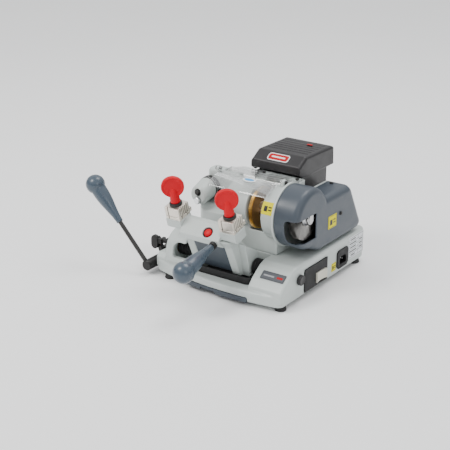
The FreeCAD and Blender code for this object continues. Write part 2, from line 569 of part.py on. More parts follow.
def spindle():
    at = ("spindle_y", "spindle_z")
    bearings = new_body("spindle_bearings")
    for left in ("bearing_inner_x", "bearing_outer_x"):
        tube(bearings, "X", at, left, left + " + bearing_wide", "spindle_radius + run_gap", "bearing_outer")
    shaft = new_body("spindle_shaft")
    turned(shaft, "X", at,
           [("arbor_left", "0"), ("spindle_right", "0"), ("spindle_right", "arbor_radius"),
            ("pulley_left - 2", "arbor_radius"), ("pulley_left - 2", "spindle_radius"),
            ("slot_right - 1", "spindle_radius"), ("slot_right - 1", "15"),
            ("cutter_left + cutter_wide", "15"), ("cutter_left + cutter_wide", "arbor_radius"),
            ("arbor_left", "arbor_radius")])
    cutter = new_body("cutter")
    tube(cutter, "X", at, "cutter_left", "cutter_left + cutter_wide", "arbor_radius", "cutter_radius")
    tooth = pocket(cutter, "YZ", "cutter_left - 1", "cutter_left + cutter_wide + 1",
                   [("spindle_y", "spindle_z + cutter_radius - 3"),
                    ("spindle_y + 4.2", "spindle_z + cutter_radius - 0.6"),
                    ("spindle_y + 4.2", "spindle_z + cutter_radius + 2"),
                    ("spindle_y", "spindle_z + cutter_radius + 2")])
    teeth = cutter.newObject("PartDesign::PolarPattern", "cutter_teeth_pattern")
    teeth.Originals = [tooth]
    teeth.Axis = (cutter_axis(cutter), ["H_Axis"])
    teeth.Angle = 360
    teeth.setExpression("Occurrences", bound("cutter_teeth"))
    cutter.Tip = teeth
    nuts = new_body("spindle_nuts")
    tube(nuts, "X", at, "arbor_left + 2", "cutter_left", "arbor_radius", "14")
    tube(nuts, "X", at, "brush_left + brush_wide + 1", "spindle_right - 1", "arbor_radius", "11")
    pulley = new_body("driven_pulley")
    grooved_pulley(pulley, at, "driven_pulley_radius", "arbor_radius")
    brush = new_body("wire_brush")
    left, right = "brush_left", "brush_left + brush_wide"
    turned(brush, "X", at,
           [(left + " - 2", "arbor_radius"), (right + " + 1", "arbor_radius"),
            (right + " + 1", "brush_hub_radius"), (right + " - 4", "brush_hub_radius + 2"),
            (right, "brush_radius"), (left, "brush_radius"), (left + " + 4", "brush_hub_radius + 2"),
            (left + " - 2", "brush_hub_radius")])


def cutter_axis(body):
    """A sketch on the spindle's line, whose own X axis is the pattern's axis."""
    sketch = new_sketch(body, "XY", "spindle_z")
    sketch.setExpression(".AttachmentOffset.Base.y", bound("spindle_y"))
    draw_circle(sketch, "0", "0", "1")
    sketch.toggleConstruction(0)
    return sketch


def grooved_pulley(body, at, radius, bore):
    left, right = "pulley_left", "pulley_left + pulley_wide"
    turned(body, "X", at,
           [(left, bore), (right, bore), (right, radius + " + 3"), (right + " - 1", radius + " + 3"),
            (right + " - 1", radius), (left + " + 1", radius), (left + " + 1", radius + " + 3"),
            (left, radius + " + 3")])


def motor():
    at = ("motor_y", "motor_z")
    housing = new_body("motor_housing")
    turned(housing, "X", at,
           [("motor_left + 5", "0"), ("motor_left + 5", "rotor_radius + 1"),
            ("motor_right - 6", "rotor_radius + 1"), ("motor_right - 6", "motor_shaft_radius + run_gap"),
            ("motor_right", "motor_shaft_radius + run_gap"), ("motor_right", "motor_radius - 12"),
            ("motor_right - 8", "motor_radius"), ("motor_left + 8", "motor_radius"),
            ("motor_left", "motor_radius - 12"), ("motor_left", "0")])
    foot = new_body("motor_foot")
    pad(foot, "XY", "deck_top", "deck_top + 11",
        box("motor_left + 12", "motor_right - 12", "motor_y - 34", "motor_y + 34"))
    turned(foot, "X", at, [("motor_left + 11", "0"), ("motor_right - 11", "0"),
                           ("motor_right - 11", "motor_radius + run_gap"),
                           ("motor_left + 11", "motor_radius + run_gap")], cut=True)
    shaft = new_body("motor_shaft")
    turned(shaft, "X", at,
           [("motor_left + 7", "0"), ("pulley_left + pulley_wide + 2", "0"),
            ("pulley_left + pulley_wide + 2", "motor_shaft_radius"),
            ("motor_right - 7", "motor_shaft_radius"), ("motor_right - 7", "rotor_radius"),
            ("motor_left + 7", "rotor_radius")])
    pulley = new_body("drive_pulley")
    grooved_pulley(pulley, at, "drive_pulley_radius", "motor_shaft_radius")
    belt = doc.addObject("Part::Feature", "drive_belt")
    belt.Label = "drive_belt"
    belt.Shape = belt_shape()
    place(belt, ("0", "0", "0"))
    PARTS.append(belt)


def belt_shape():
    """The band between two loops of straight runs and arcs about the two pulleys."""
    centres = [V(0, value(y), value(z)) for y, z in (("spindle_y", "spindle_z"), ("motor_y", "motor_z"))]
    line = centres[1] - centres[0]
    along = V(line).normalize()
    across = V(0, -along.z, along.y)
    faces = []
    for lift in (0.2, 2.4):
        radii = [value(r) + lift for r in ("driven_pulley_radius", "drive_pulley_radius")]
        lean = math.asin((radii[1] - radii[0]) / line.Length)
        up = across * math.cos(lean) - along * math.sin(lean)
        down = across * -math.cos(lean) - along * math.sin(lean)
        points = [centres[0] + up * radii[0], centres[1] + up * radii[1],
                  centres[1] + down * radii[1], centres[0] + down * radii[0]]
        edges = [Part.LineSegment(points[0], points[1]).toShape(),
                 Part.Arc(points[1], centres[1] + along * radii[1], points[2]).toShape(),
                 Part.LineSegment(points[2], points[3]).toShape(),
                 Part.Arc(points[3], centres[0] - along * radii[0], points[0]).toShape()]
        faces.append(Part.Face(Part.Wire(edges)))
    band = faces[1].cut(faces[0])
    band.translate(V(value("pulley_left + 1.5"), 0, 0))
    return band.extrude(V(value("pulley_wide - 3"), 0, 0)).removeSplitter()


# ---- covers ---------------------------------------------------------------------------------

def cover_outline(radius, inset):
    """The belt cover's side outline, in Y and Z, pulled in by inset."""
    axis = ("spindle_y", "spindle_z")
    top = "cover_top - " + inset
    under = "cover_under + " + inset
    rear_of_round = "spindle_y + sqrt((%s)^2 - (%s - spindle_z)^2)" % (radius, top)
    return [(rear_of_round, top) + axis + (1,),
            ("spindle_y - 5", under_circle("spindle_y - 5", radius, sign="-")),
            ("cover_under_front", under), ("128 - " + inset, under), ("139 - " + inset, under + " + 6"),
            ("141 - " + inset, under + " + 17"), ("100 - " + inset, "169 - " + inset),
            ("cover_top_rear - " + inset, top)]


def covers():
    back = new_body("cover_backplate")
    pad(back, "YZ", "head_right", "cover_left", cover_outline("cover_rim", "0"))
    pocket(back, "YZ", "head_right - 1", "cover_left + 1", disc("spindle_y", "spindle_z", "12"),
           disc("motor_y", "motor_z", "11"))
    cover = new_body("belt_cover")
    pad(cover, "YZ", "cover_left", "cover_right", cover_outline("cover_radius", "0"))
    rounded(cover, "cover_round", ("cover_right - 1", "-999", "-999"), ("cover_right + 1", "999", "999"))
    pocket(cover, "YZ", "cover_left - 1", "cover_right - 11",
           cover_outline("cover_radius - cover_wall", "cover_wall"))
    pocket(cover, "YZ", "cover_right - 12", "cover_right - cover_wall",
           cover_outline("cover_radius - 9", "9"))
    pocket(cover, "XZ", "spindle_y - cover_radius - 5", "window_rear",
           [("window_left + window_round", "window_low"), ("cover_right + 2", "window_low"),
            ("cover_right + 2", "window_high"),
            ("window_left + window_round", "window_high",
             "window_left + window_round", "window_high - window_round", 1),
            ("window_left", "window_high - window_round"),
            ("window_left", "window_low + window_round",
             "window_left + window_round", "window_low + window_round", 1)])
    screws = new_body("cover_screws")
    turned(screws, "X", ("55", "131"), [("cover_right", "0"), ("cover_right + 1.5", "0"),
                                        ("cover_right + 1.5", "2.5"), ("cover_right", "3.2")])
    for x, y, top in (("114", "80", "cover_top"), ("14", "-3", "spine_top + strip_thick"),
                      ("88", "-3", "spine_top + strip_thick")):
        turned(screws, "Z", (x, y), [(top, "0"), (top, "4"), (top + " + 2.5", "3.4"), (top + " + 2.5", "0")])


def motor_covers():
    plinth = new_body("motor_plinth")
    outer = box("plinth_left", "plinth_right", "plinth_front", "plinth_rear")
    inner = box("plinth_left + sheet_wall", "plinth_right - sheet_wall",
                "plinth_front + sheet_wall", "plinth_rear - sheet_wall")
    pad(plinth, "XY", "deck_top", "plinth_top", outer)
    rounded(plinth, "hood_round", ("-999", "-999", "-999"), ("999", "999", "999"), "Z")
    pocket(plinth, "XY", "deck_top - 1", "plinth_top + 1", inner)
    pocket(plinth, "YZ", "plinth_right - sheet_wall - 1", "plinth_right + 1",
           disc("motor_y", "motor_z", "14"))
    hood = new_body("motor_cover")
    pad(hood, "YZ", "hood_left", "hood_right",
        [("hood_front", "hood_low + 9"), ("hood_front", "hood_nose"), ("hood_break", "hood_top"),
         ("hood_rear - 2", "hood_top - 2"), ("hood_rear", "hood_low"), ("plinth_front + 10", "hood_low")])
    rounded(hood, "hood_round", ("hood_left - 1", "hood_front - 1", "hood_nose - 3"),
            ("hood_right + 1", "hood_rear + 1", "hood_top + 1"))
    pocket(hood, "YZ", "hood_left + sheet_wall", "hood_right - sheet_wall",
           [("hood_front + sheet_wall", "hood_low - 1"), ("hood_front + sheet_wall", "hood_nose - 1.5"),
            ("hood_break + 0.5", "hood_top - sheet_wall"),
            ("hood_rear - 2 - sheet_wall", "hood_top - 2 - sheet_wall"),
            ("hood_rear - sheet_wall", "hood_low - 1")])
    groove = pocket(hood, "XY", "hood_top - groove_deep", "hood_top + 1",
                    box("hood_left + groove_margin", "hood_right - groove_margin", "groove_first",
                        "groove_first + groove_wide"))
    pattern = hood.newObject("PartDesign::LinearPattern", "groove_pattern")
    pattern.Originals = [groove]
    pattern.Direction = (groove.Profile[0], ["V_Axis"])
    pattern.setExpression("Length", bound("groove_pitch * (groove_count - 1)"))
    pattern.setExpression("Occurrences", bound("groove_count"))
    hood.Tip = pattern


def shield():
    body = new_body("safety_shield")
    outer = "(shield_inner + shield_thick)"
    corners = []
    for radius, angles, turn in ((outer, ("90", "180 - shield_front_angle"), 1),
                                 ("shield_inner", ("180 - shield_front_angle", "90"), -1)):
        for n, angle in enumerate(angles):
            y = "spindle_y + %s * cos(%s)" % (radius, angle)
            z = "spindle_z + %s * sin(%s)" % (radius, angle)
            corners.append((y, z, "spindle_y", "spindle_z", turn) if n == 0 else (y, z))
    pad(body, "YZ", "shield_left", "shield_right", corners)
    for left in ("shield_left - 2.6", "shield_right"):
        pad(body, "YZ", left, left + " + 2.6",
            [("hinge_y - 12", "hinge_z - 3.4"), ("hinge_y + 4.5", "hinge_z - 3.4"),
             ("hinge_y + 4.5", "hinge_z", "hinge_y", "hinge_z", 1), ("hinge_y - 4.5", "hinge_z")])
    pocket(body, "YZ", "shield_left - 4", "shield_right + 4", disc("hinge_y", "hinge_z", "2.1"))
    strip = new_body("shield_strip")
    pad(strip, "XY", "spine_top", "spine_top + strip_thick",
        [("strip_left", "-12"), ("strip_right", "-12"), ("strip_right", "strip_rear"),
         ("strip_left + 14", "strip_rear")])
    pad(strip, "XY", "cheek_top", "cheek_top + strip_thick",
        box("strip_left", "strip_right", "strip_front", "-10"))
    screws = new_body("hinge_screws")
    at = ("hinge_y", "hinge_z")
    left_lug = "cheek_right - lug_wide"
    right_lug = "shield_right + 4 + lug_wide"
    rod(screws, "X", at, left_lug, "shield_left - 0.2", "2")
    rod(screws, "X", at, left_lug + " - 2.5", left_lug, "4")
    rod(screws, "X", at, "shield_right + 0.2", right_lug, "2")
    rod(screws, "X", at, right_lug, right_lug + " + 2.5", "4")


# ---- tracer ---------------------------------------------------------------------------------

def tracer():
    nose = new_body("tracer_housing")
    rear = new_sketch(nose, "XZ", "ring_front - 0.3")
    draw_circle(rear, "tracer_x", "tracer_z", "nose_rear_radius")
    front = new_sketch(nose, "XZ", "nose_front")
    draw_circle(front, "tracer_x", "tracer_z - nose_drop", "nose_front_radius")
    loft = nose.newObject("PartDesign::AdditiveLoft", "nose_loft")
    loft.Profile = rear
    loft.Sections = [front]
    loft.Ruled = True
    rounded(nose, "cheek_round", ("-999", "nose_front - 1", "-999"), ("999", "nose_front + 1", "999"))
    at = ("tracer_x", "tracer_z")
    pad(nose, "XZ", "ring_front - 4", "cheek_front", disc(*at, "13"))
    pocket(nose, "XZ", "nose_front - 1", "cheek_front + 1", disc(*at, "tracer_radius + run_gap"))
    pocket(nose, "XZ", "nose_front - 1", "nose_front + 20",
           disc("tracer_x", "tracer_z - lock_drop", "lock_radius + 0.3"))
    ring = new_body("tracer_ring")
    tube(ring, "Y", at, "ring_front", "cheek_front - 0.3", "13 + run_gap", "ring_radius")
    point = new_body("tracer_point")
    turned(point, "Y", at, [("cheek_front + 14", "0"), ("tracer_tip", "0"), ("tracer_tip", "3.5"),
                            ("tracer_tip + 3", "tracer_radius"), ("cheek_front + 14", "tracer_radius")])
    lock = new_body("tracer_lock_screw")
    turned(lock, "Y", ("tracer_x", "tracer_z - lock_drop"),
           [("nose_front + 19", "0"), ("lock_tip", "0"), ("lock_tip", "lock_radius - 2"),
            ("lock_tip + 2", "lock_radius"), ("nose_front + 19", "lock_radius")])


# ---- shaft, bellows, link and side lever --------------------------------------------------------

def shaft_parts():
    at = ("shaft_y", "shaft_z")
    shaft = new_body("carriage_shaft")
    rod(shaft, "X", at, "shaft_left", "shaft_right", "shaft_radius")
    bushes = new_body("shaft_bushes")
    tube(bushes, "X", at, "arch_left", "arch_end", "shaft_radius + run_gap", "bush_radius")
    tube(bushes, "X", at, "leg_left", "leg_left + bush_long", "shaft_radius + run_gap", "bush_radius")
    for name, left, folds, pitch in (("bellows_left", "arch_end + 0.5", 10, "5.05"),
                                     ("bellows_right", "boss_right + 0.5", 4, "4.75")):
        bellows(name, at, left, folds, pitch)
    link = new_body("shift_link")
    centres = ("crank_x", "link_low + link_half", "link_high - link_half")
    pad(link, "XZ", "crank_front - 9", "crank_front - 6.5", obround(*centres, "link_half"))
    pad(link, "XZ", "crank_front - 7", "crank_front - 1.5", obround(*centres, "link_half"),
        obround(*centres, "link_slot_half"))
    pad(link, "XZ", "crank_front - 7", "crank_front - 1.5",
        box("crank_x + link_half - 1", "crank_x + link_half + 8", "shaft_z - 5", "shaft_z + 5"))
    pad(link, "XZ", "crank_front - 2", "crank_rear + 1",
        box("crank_x + link_half + 2", "crank_x + link_half + 8", "shaft_z - 5", "shaft_z + 5"))
    rod(link, "X", at, "crank_x + link_half + 7", "shaft_left - 5", "5")
    rod(link, "X", at, "shaft_left - 6", "shaft_left", "8")


def obround(x, low, high, half):
    """A slot's outline between two round ends centred at x."""
    left, right = "%s - %s" % (x, half), "%s + %s" % (x, half)
    return [(right, low), (right, high, x, high, 1), (left, high), (left, low, x, low, 1)]


def bellows(name, at, left, folds, pitch):
    body = new_body(name)
    corners = [(left, "bellows_inner")]
    end = "%s + %d * %s" % (left, folds, pitch)
    corners.append((end, "bellows_inner"))
    corners.append((end, "bellows_outer - 3"))
    for n in range(folds, 0, -1):
        corners.append(("%s + (%d - 0.5) * %s" % (left, n, pitch), "bellows_outer"))
        corners.append(("%s + %d * %s" % (left, n - 1, pitch), "bellows_outer - 3"))
    turned(body, "X", at, corners)


def side_lever():
    at = ("pivot_x", "pivot_z")
    pivot = new_body("lever_pivot")
    pad(pivot, "YZ", "pivot_x - 11", "base_left",
        box("crank_rear + 3", "crank_rear + 27", "base_under + 1", "base_under + 27"))
    rod(pivot, "Y", at, "hub_front + 2", "crank_rear + 4", "pin_radius")
    hub = new_body("lever_hub")
    turned(hub, "Y", at, [("hub_front", "0"), ("hub_front", "hub_radius - 1.5"),
                          ("hub_front + 1.5", "hub_radius"), ("hub_rear", "hub_radius"),
                          ("hub_rear + 3", "7.5"), ("crank_rear", "7.5"), ("crank_rear", "0")])
    lean = "atan((crank_x - pivot_x) / (crank_z - pivot_z))"
    arm = "sqrt((crank_x - pivot_x)^2 + (crank_z - pivot_z)^2)"
    corners = []
    for along, side in (("0", "-5"), ("0", "5"), (arm, "5"), (arm, "-5")):
        x = "pivot_x + (%s) * sin(%s) + (%s) * cos(%s)" % (along, lean, side, lean)
        z = "pivot_z + (%s) * cos(%s) - (%s) * sin(%s)" % (along, lean, side, lean)
        corners.append((x, z) if along == "0" or side == "-5" else (x, z, "crank_x", "crank_z", 1))
    pad(hub, "XZ", "crank_front", "crank_rear", corners)
    rod(hub, "Y", ("crank_x", "crank_z"), "crank_front - 6", "crank_front + 1", "crank_pin_radius")
    turned(hub, "Y", at, [("hub_front + 1.5", "0"), ("hub_front + 1.5", "pin_radius + run_gap"),
                          ("crank_rear + 1", "pin_radius + run_gap"), ("crank_rear + 1", "0")], cut=True)
    where = ("pivot_x", "side_lever_y", "pivot_z")
    bar = new_body("lever_rod", where, (0, 1, 0), "side_lever_tilt")
    rod(bar, "Z", ("0", "0"), "hub_radius", "side_grip_at + 55", "side_rod_radius")
    grip = new_body("lever_grip", where, (0, 1, 0), "side_lever_tilt")
    ball_grip(grip, "side_grip_at", "side_ball_at", "side_ball_radius", "side_rod_radius", "5.8")


def ball_grip(body, start, ball, radius, bore, neck):
    """A taper that swells into a ball, with a blind bore for the rod."""
    touch = "%s - (%s) * 0.8" % (ball, radius)
    turned(body, "Z", ("0", "0"),
           [(start, bore), ("%s + 56" % start, bore), ("%s + 56" % start, "0"),
            ("%s + %s" % (ball, radius), "0", ball, "0", 1),
            (touch, "(%s) * 0.6" % radius), ("%s - 34" % ball, "9.2"), ("%s + 2" % start, neck + " + 1"),
            (start, neck)])


# ---- carriage -------------------------------------------------------------------------------

def leaned(out, up):
    """A point of a clamp in Y and Z: out is toward the head, up is along the clamp's stud."""
    return ("clamp_y + (%s) * cos(clamp_lean) - (%s) * sin(clamp_lean)" % (out, up),
            "clamp_z + (%s) * sin(clamp_lean) + (%s) * cos(clamp_lean)" % (out, up))


def stud_hole(x):
    hole = doc.addObject("Part::Cylinder", "stud_hole_tool")
    hole.setExpression("Radius", bound("stud_radius + run_gap"))
    hole.setExpression("Height", bound("stud_deep + 2"))
    place(hole, (x,) + leaned("0", "-stud_deep - 1"), (1, 0, 0), "clamp_lean")
    return hole


def carriage():
    body = new_body("carriage_frame", listed=False)
    clamps = ("clamp_left_x", "(clamp_left_x + clamp_spacing)")
    for x in clamps:
        pad(body, "YZ", x + " - pad_half", x + " + pad_half",
            [leaned("pad_half", "0"), leaned("-pad_half", "0"), leaned("-pad_half", "pad_chamfer - pad_deep"),
             leaned("pad_chamfer - pad_half", "-pad_deep"), leaned("pad_half", "-pad_deep")])
    top_z = "bridge_foot_z + bridge_rise"
    bridge = [("bridge_foot_y", "bridge_foot_z"), ("bridge_foot_y + bridge_rise", top_z),
              ("bridge_rear", top_z), ("bridge_rear", "pad_low - 6"), ("-141", "window_top + 2"),
              ("-153", "window_top + 2"), ("bridge_foot_y", "bridge_foot_z - 9")]
    pad(body, "YZ", "clamp_left_x + pad_half - 1", "clamp_left_x + clamp_spacing - pad_half + 1", bridge)
    boss_low = "shaft_z - boss_radius"
    for left in ("leg_left_x", "leg_right_x"):
        pad(body, "YZ", left, left + " + leg_wide",
            [("leg_front_y", "leg_bottom"), ("-110", boss_low),
             ("shaft_y", boss_low, "shaft_y", "shaft_z", 1),
             ("shaft_y + boss_radius", "shaft_z"), ("shaft_y + boss_radius - 2", "shaft_z + 18"),
             ("bridge_rear", "pad_low"), ("bridge_foot_y + 6", "bridge_foot_z - 2"),
             ("-152", "window_top + 4")])
    pad(body, "YZ", "leg_right_x + leg_wide - 1", "boss_right",
        [("-114", boss_low), ("shaft_y", boss_low, "shaft_y", "shaft_z", 1),
         ("shaft_y + boss_radius", "shaft_z"), ("shaft_y + boss_radius - 2", "shaft_z + 18"),
         ("-90", "82"), ("-131", "105"), ("-120", "70")])
    pocket(body, "YZ", "leg_left_x - 1", "boss_right + 1",
           disc("shaft_y", "shaft_z", "shaft_radius + run_gap"))
    tools = [stud_hole(x) for x in clamps]
    well = doc.addObject("Part::Cylinder", "button_well_tool")
    well.setExpression("Radius", bound("button_well"))
    well.setExpression("Height", bound("button_deep + 6"))
    place(well, ("button_x", "button_y + button_deep * sin(button_tilt)",
                 "button_z - button_deep * cos(button_tilt)"), (1, 0, 0), "button_tilt")
    holes = doc.addObject("Part::MultiFuse", "carriage_holes")
    holes.Shapes = tools + [well]
    casting = doc.addObject("Part::Cut", "carriage_casting")
    casting.Label = "carriage_casting"
    casting.Base = body
    casting.Tool = holes
    PARTS.append(casting)
    panel = new_body("guard_panel")
    pad(panel, "YZ", "leg_left_x + leg_wide + 0.2", "leg_right_x - 0.2",
        [("leg_front_y + 1", "leg_bottom + 3"), ("leg_front_y + 1 + panel_thick", "leg_bottom + 3"),
         ("-152 + 1 + panel_thick", "window_top + 1.5"), ("-152 + 1", "window_top + 1.5")])
    button = new_body("release_button", ("button_x", "button_y", "button_z"), (1, 0, 0), "button_tilt")
    dome_top = "sqrt(7^2 + (button_radius - 1.4)^2) - 6"
    turned(button, "Z", ("0", "0"), [("-4.5", "0"), (dome_top, "0", "-6", "0", 1),
                                     ("1", "button_radius - 1.4"), ("-0.5", "button_radius"),
                                     ("-4.5", "button_radius")])
    screws = new_body("carriage_screws")
    for y, z in (("-110.5", "40.5"), ("-113.4", "47")):
        turned(screws, "X", (y, z), [("boss_right", "0"), ("boss_right + 2", "0"), ("boss_right + 2", "1.4"),
                                     ("boss_right", "2")])


def clamp(side, x):
    """The parts of one clamp, drawn upright at zero and then leaned toward the operator."""
    where = ((x, "clamp_y", "clamp_z"), (1, 0, 0), "clamp_lean")
    stud = disc("0", "0", "stud_radius + run_gap")
    block = around("0", "0", "jaw_half")
    nose = box("-jaw_half", "jaw_half", "jaw_half - 1", "jaw_half + jaw_nose")
    seam = "lower_jaw_high + jaw_gap"
    lower = new_body("lower_jaw_" + side, *where)
    pad(lower, "XY", "0", "lower_jaw_high", block)
    pad(lower, "XY", "lower_jaw_high - 4", "lower_jaw_high", nose)
    pocket(lower, "XY", "-1", "lower_jaw_high + 1", stud)
    upper = new_body("upper_jaw_" + side, *where)
    pad(upper, "XY", seam, "jaws_high", block)
    pad(upper, "XY", seam, seam + " + 4", nose)
    pocket(upper, "XY", seam + " - 1", "jaws_high + 1", stud)
    collar = new_body("clamp_collar_" + side, *where)
    low = "jaws_high + collar_high"
    turned(collar, "Z", ("0", "0"), [("jaws_high", "stud_radius + run_gap"), ("jaws_high", "collar_radius"),
                                     (low + " - 1.5", "collar_radius"), (low, "collar_radius - 2"),
                                     (low, "stud_radius + run_gap")])
    knob = new_body("clamp_knob_" + side, *where)
    turned(knob, "Z", ("0", "0"), [("-stud_deep", "0"), ("knob_high - 14", "0"),
                                   ("knob_high - 14", "knob_neck"),
                                   (low + " + 1", "knob_neck + 1.5"), (low, "knob_neck + 0.5"),
                                   (low, "stud_radius"), ("-stud_deep", "stud_radius")])
    corners = []
    for along, radius in (("-1", "0"), ("-1", "knob_radius - 3"), ("-0.4", "knob_radius"),
                          ("0.4", "knob_radius"), ("1", "knob_radius - 3"), ("1", "0")):
        corners.append((along + " * knob_thick / 2", radius))
    turned_across(knob, "knob_high", "knob_yaw", corners)


def turned_across(body, level, yaw, corners):
    """Adds a turned shape whose level axis is turned by yaw away from Y."""
    sketch = body.newObject("Sketcher::SketchObject", body.Name + "_sketch")
    support = [f for f in body.Origin.OriginFeatures if f.Role == "XY_Plane"][0]
    sketch.AttachmentSupport = [(support, "")]
    sketch.MapMode = "FlatFace"
    sketch.AttachmentOffset = FreeCAD.Placement(V(), FreeCAD.Rotation(V(0, 0, 1), 90 + value(yaw)))
    sketch.setExpression(".AttachmentOffset.Rotation.Angle", bound("90 + " + yaw))
    sketch.setExpression(".AttachmentOffset.Base.z", bound(level))
    draw(sketch, [corners])
    feature = body.newObject("PartDesign::Revolution", body.Name + "_turned")
    feature.Profile = sketch
    feature.ReferenceAxis = (sketch, ["H_Axis"])
    feature.Angle = 360


def front_lever():
    where = ("front_lever_x", "front_lever_y", "front_lever_z")
    turn = ((1, 0, 0), "front_lever_tilt")
    nut = new_body("front_lever_nut", where, *turn)
    tube(nut, "Z", ("0", "0"), "1.5", "9", "front_rod_radius", "8")
    bar = new_body("front_lever_rod", where, *turn)
    rod(bar, "Z", ("0", "0"), "1.5", "60", "front_rod_radius")
    grip = new_body("front_lever_grip", where, *turn)
    ball_grip(grip, "10", "front_ball_at", "front_ball_radius", "front_rod_radius", "6")


def main():
    base_casting()
    base_trim()
    chip_tray()
    labels()
    side_fittings()
    head_casting()
    spindle()
    motor()
    covers()
    motor_covers()
    shield()
    tracer()
    shaft_parts()
    side_lever()
    carriage()
    clamp("left", "clamp_left_x")
    clamp("right", "(clamp_left_x + clamp_spacing)")
    front_lever()
    doc.recompute()
    failed = [o.Name for o in doc.Objects if "Invalid" in o.State or "Error" in o.State]
    if failed:
        raise ValueError("failed objects: " + ", ".join(failed))
    os.makedirs("parts", exist_ok=True)
    whole = FreeCAD.BoundBox()
    for part in PARTS:
        shape = part.Shape
        if shape.isNull() or not shape.isValid():
            raise ValueError(part.Label + " is not a valid shape")
        shape.exportStep("parts/%s.step" % part.Label)
        whole.add(shape.BoundBox)
    print("%d sub-parts" % len(PARTS), whole)


main()
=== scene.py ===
import json
import math
import random

import bmesh
import bpy
from mathutils import Matrix, Vector


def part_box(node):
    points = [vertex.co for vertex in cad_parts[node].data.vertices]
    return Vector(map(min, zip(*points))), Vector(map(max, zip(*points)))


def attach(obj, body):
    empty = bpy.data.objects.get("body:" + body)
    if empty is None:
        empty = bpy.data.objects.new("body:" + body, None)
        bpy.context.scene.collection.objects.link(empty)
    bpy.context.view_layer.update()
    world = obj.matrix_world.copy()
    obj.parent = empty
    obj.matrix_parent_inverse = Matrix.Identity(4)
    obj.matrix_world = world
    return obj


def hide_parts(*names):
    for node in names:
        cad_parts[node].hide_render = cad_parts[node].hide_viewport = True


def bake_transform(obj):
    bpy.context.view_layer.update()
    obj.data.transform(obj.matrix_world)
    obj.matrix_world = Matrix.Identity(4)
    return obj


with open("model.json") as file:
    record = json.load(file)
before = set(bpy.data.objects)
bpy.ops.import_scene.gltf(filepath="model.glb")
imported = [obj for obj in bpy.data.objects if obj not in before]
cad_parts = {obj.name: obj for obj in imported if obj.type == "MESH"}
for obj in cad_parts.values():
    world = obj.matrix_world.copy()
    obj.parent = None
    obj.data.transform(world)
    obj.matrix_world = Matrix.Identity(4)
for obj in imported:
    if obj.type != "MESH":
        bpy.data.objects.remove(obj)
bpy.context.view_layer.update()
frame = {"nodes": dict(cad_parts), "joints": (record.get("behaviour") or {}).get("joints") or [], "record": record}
NODES = frame["nodes"]
JOINTS = {joint["name"]: joint for joint in frame["joints"]}
SLOTS = {part["node"]: part["material_slot"] for part in frame["record"]["subparts"]}
BODY_OF = {n: body for body, names in frame["record"]["behaviour"]["bodies"].items() for n in names}

MM = 0.001
X = Vector((1, 0, 0))
Y = Vector((0, 1, 0))
Z = Vector((0, 0, 1))


# ---- places read from the frame ---------------------------------------------------------------

def joint_at(name):
    return Vector(JOINTS[name]["pos_m"])


def middle(node):
    low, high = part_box(node)
    return (low + high) / 2


SPINDLE = joint_at("spindle_spin")
SHAFT = joint_at("carriage_tilt")
SIDE_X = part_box("rating_plate")[0].x


def drawn(x, y, z):
    """A point from the part drawing's own millimetres, in which the spindle's middle is (40, -45, 149)."""
    return SPINDLE + Vector((x - 40, y + 45, z - 149)) * MM


# ---- materials --------------------------------------------------------------------------------

def srgb(red, green, blue):
    """The linear colour of a display colour."""
    return tuple(((c / 255 + 0.055) / 1.055) ** 2.4 for c in (red, green, blue)) + (1,)


def shade(colour, factor):
    return tuple(min(1, c * factor) for c in colour[:3]) + (1,)


def node(tree, kind, settings=None, **inputs):
    made = tree.nodes.new("ShaderNode" + kind)
    for key, setting in (settings or {}).items():
        setattr(made, key, setting)
    for key, value in inputs.items():
        socket = made.inputs[key.replace("_", " ")]
        if isinstance(value, bpy.types.NodeSocket):
            tree.links.new(value, socket)
        else:
            socket.default_value = value
    return made


def blend_colour(tree, share, first, second):
    made = tree.nodes.new("ShaderNodeMix")
    made.data_type = "RGBA"
    for socket, value in ((made.inputs[0], share), (made.inputs[6], first), (made.inputs[7], second)):
        if isinstance(value, bpy.types.NodeSocket):
            tree.links.new(value, socket)
        else:
            socket.default_value = value
    return made.outputs[2]


def ramp(tree, share, low, high, first=0.0, second=1.0):
    return node(tree, "MapRange", Value=share, From_Min=low, From_Max=high,
                To_Min=first, To_Max=second).outputs[0]


def product(tree, first, second):
    made = node(tree, "Math", {"operation": "MULTIPLY"})
    tree.links.new(first, made.inputs[0])
    tree.links.new(second, made.inputs[1])
    return made.outputs[0]


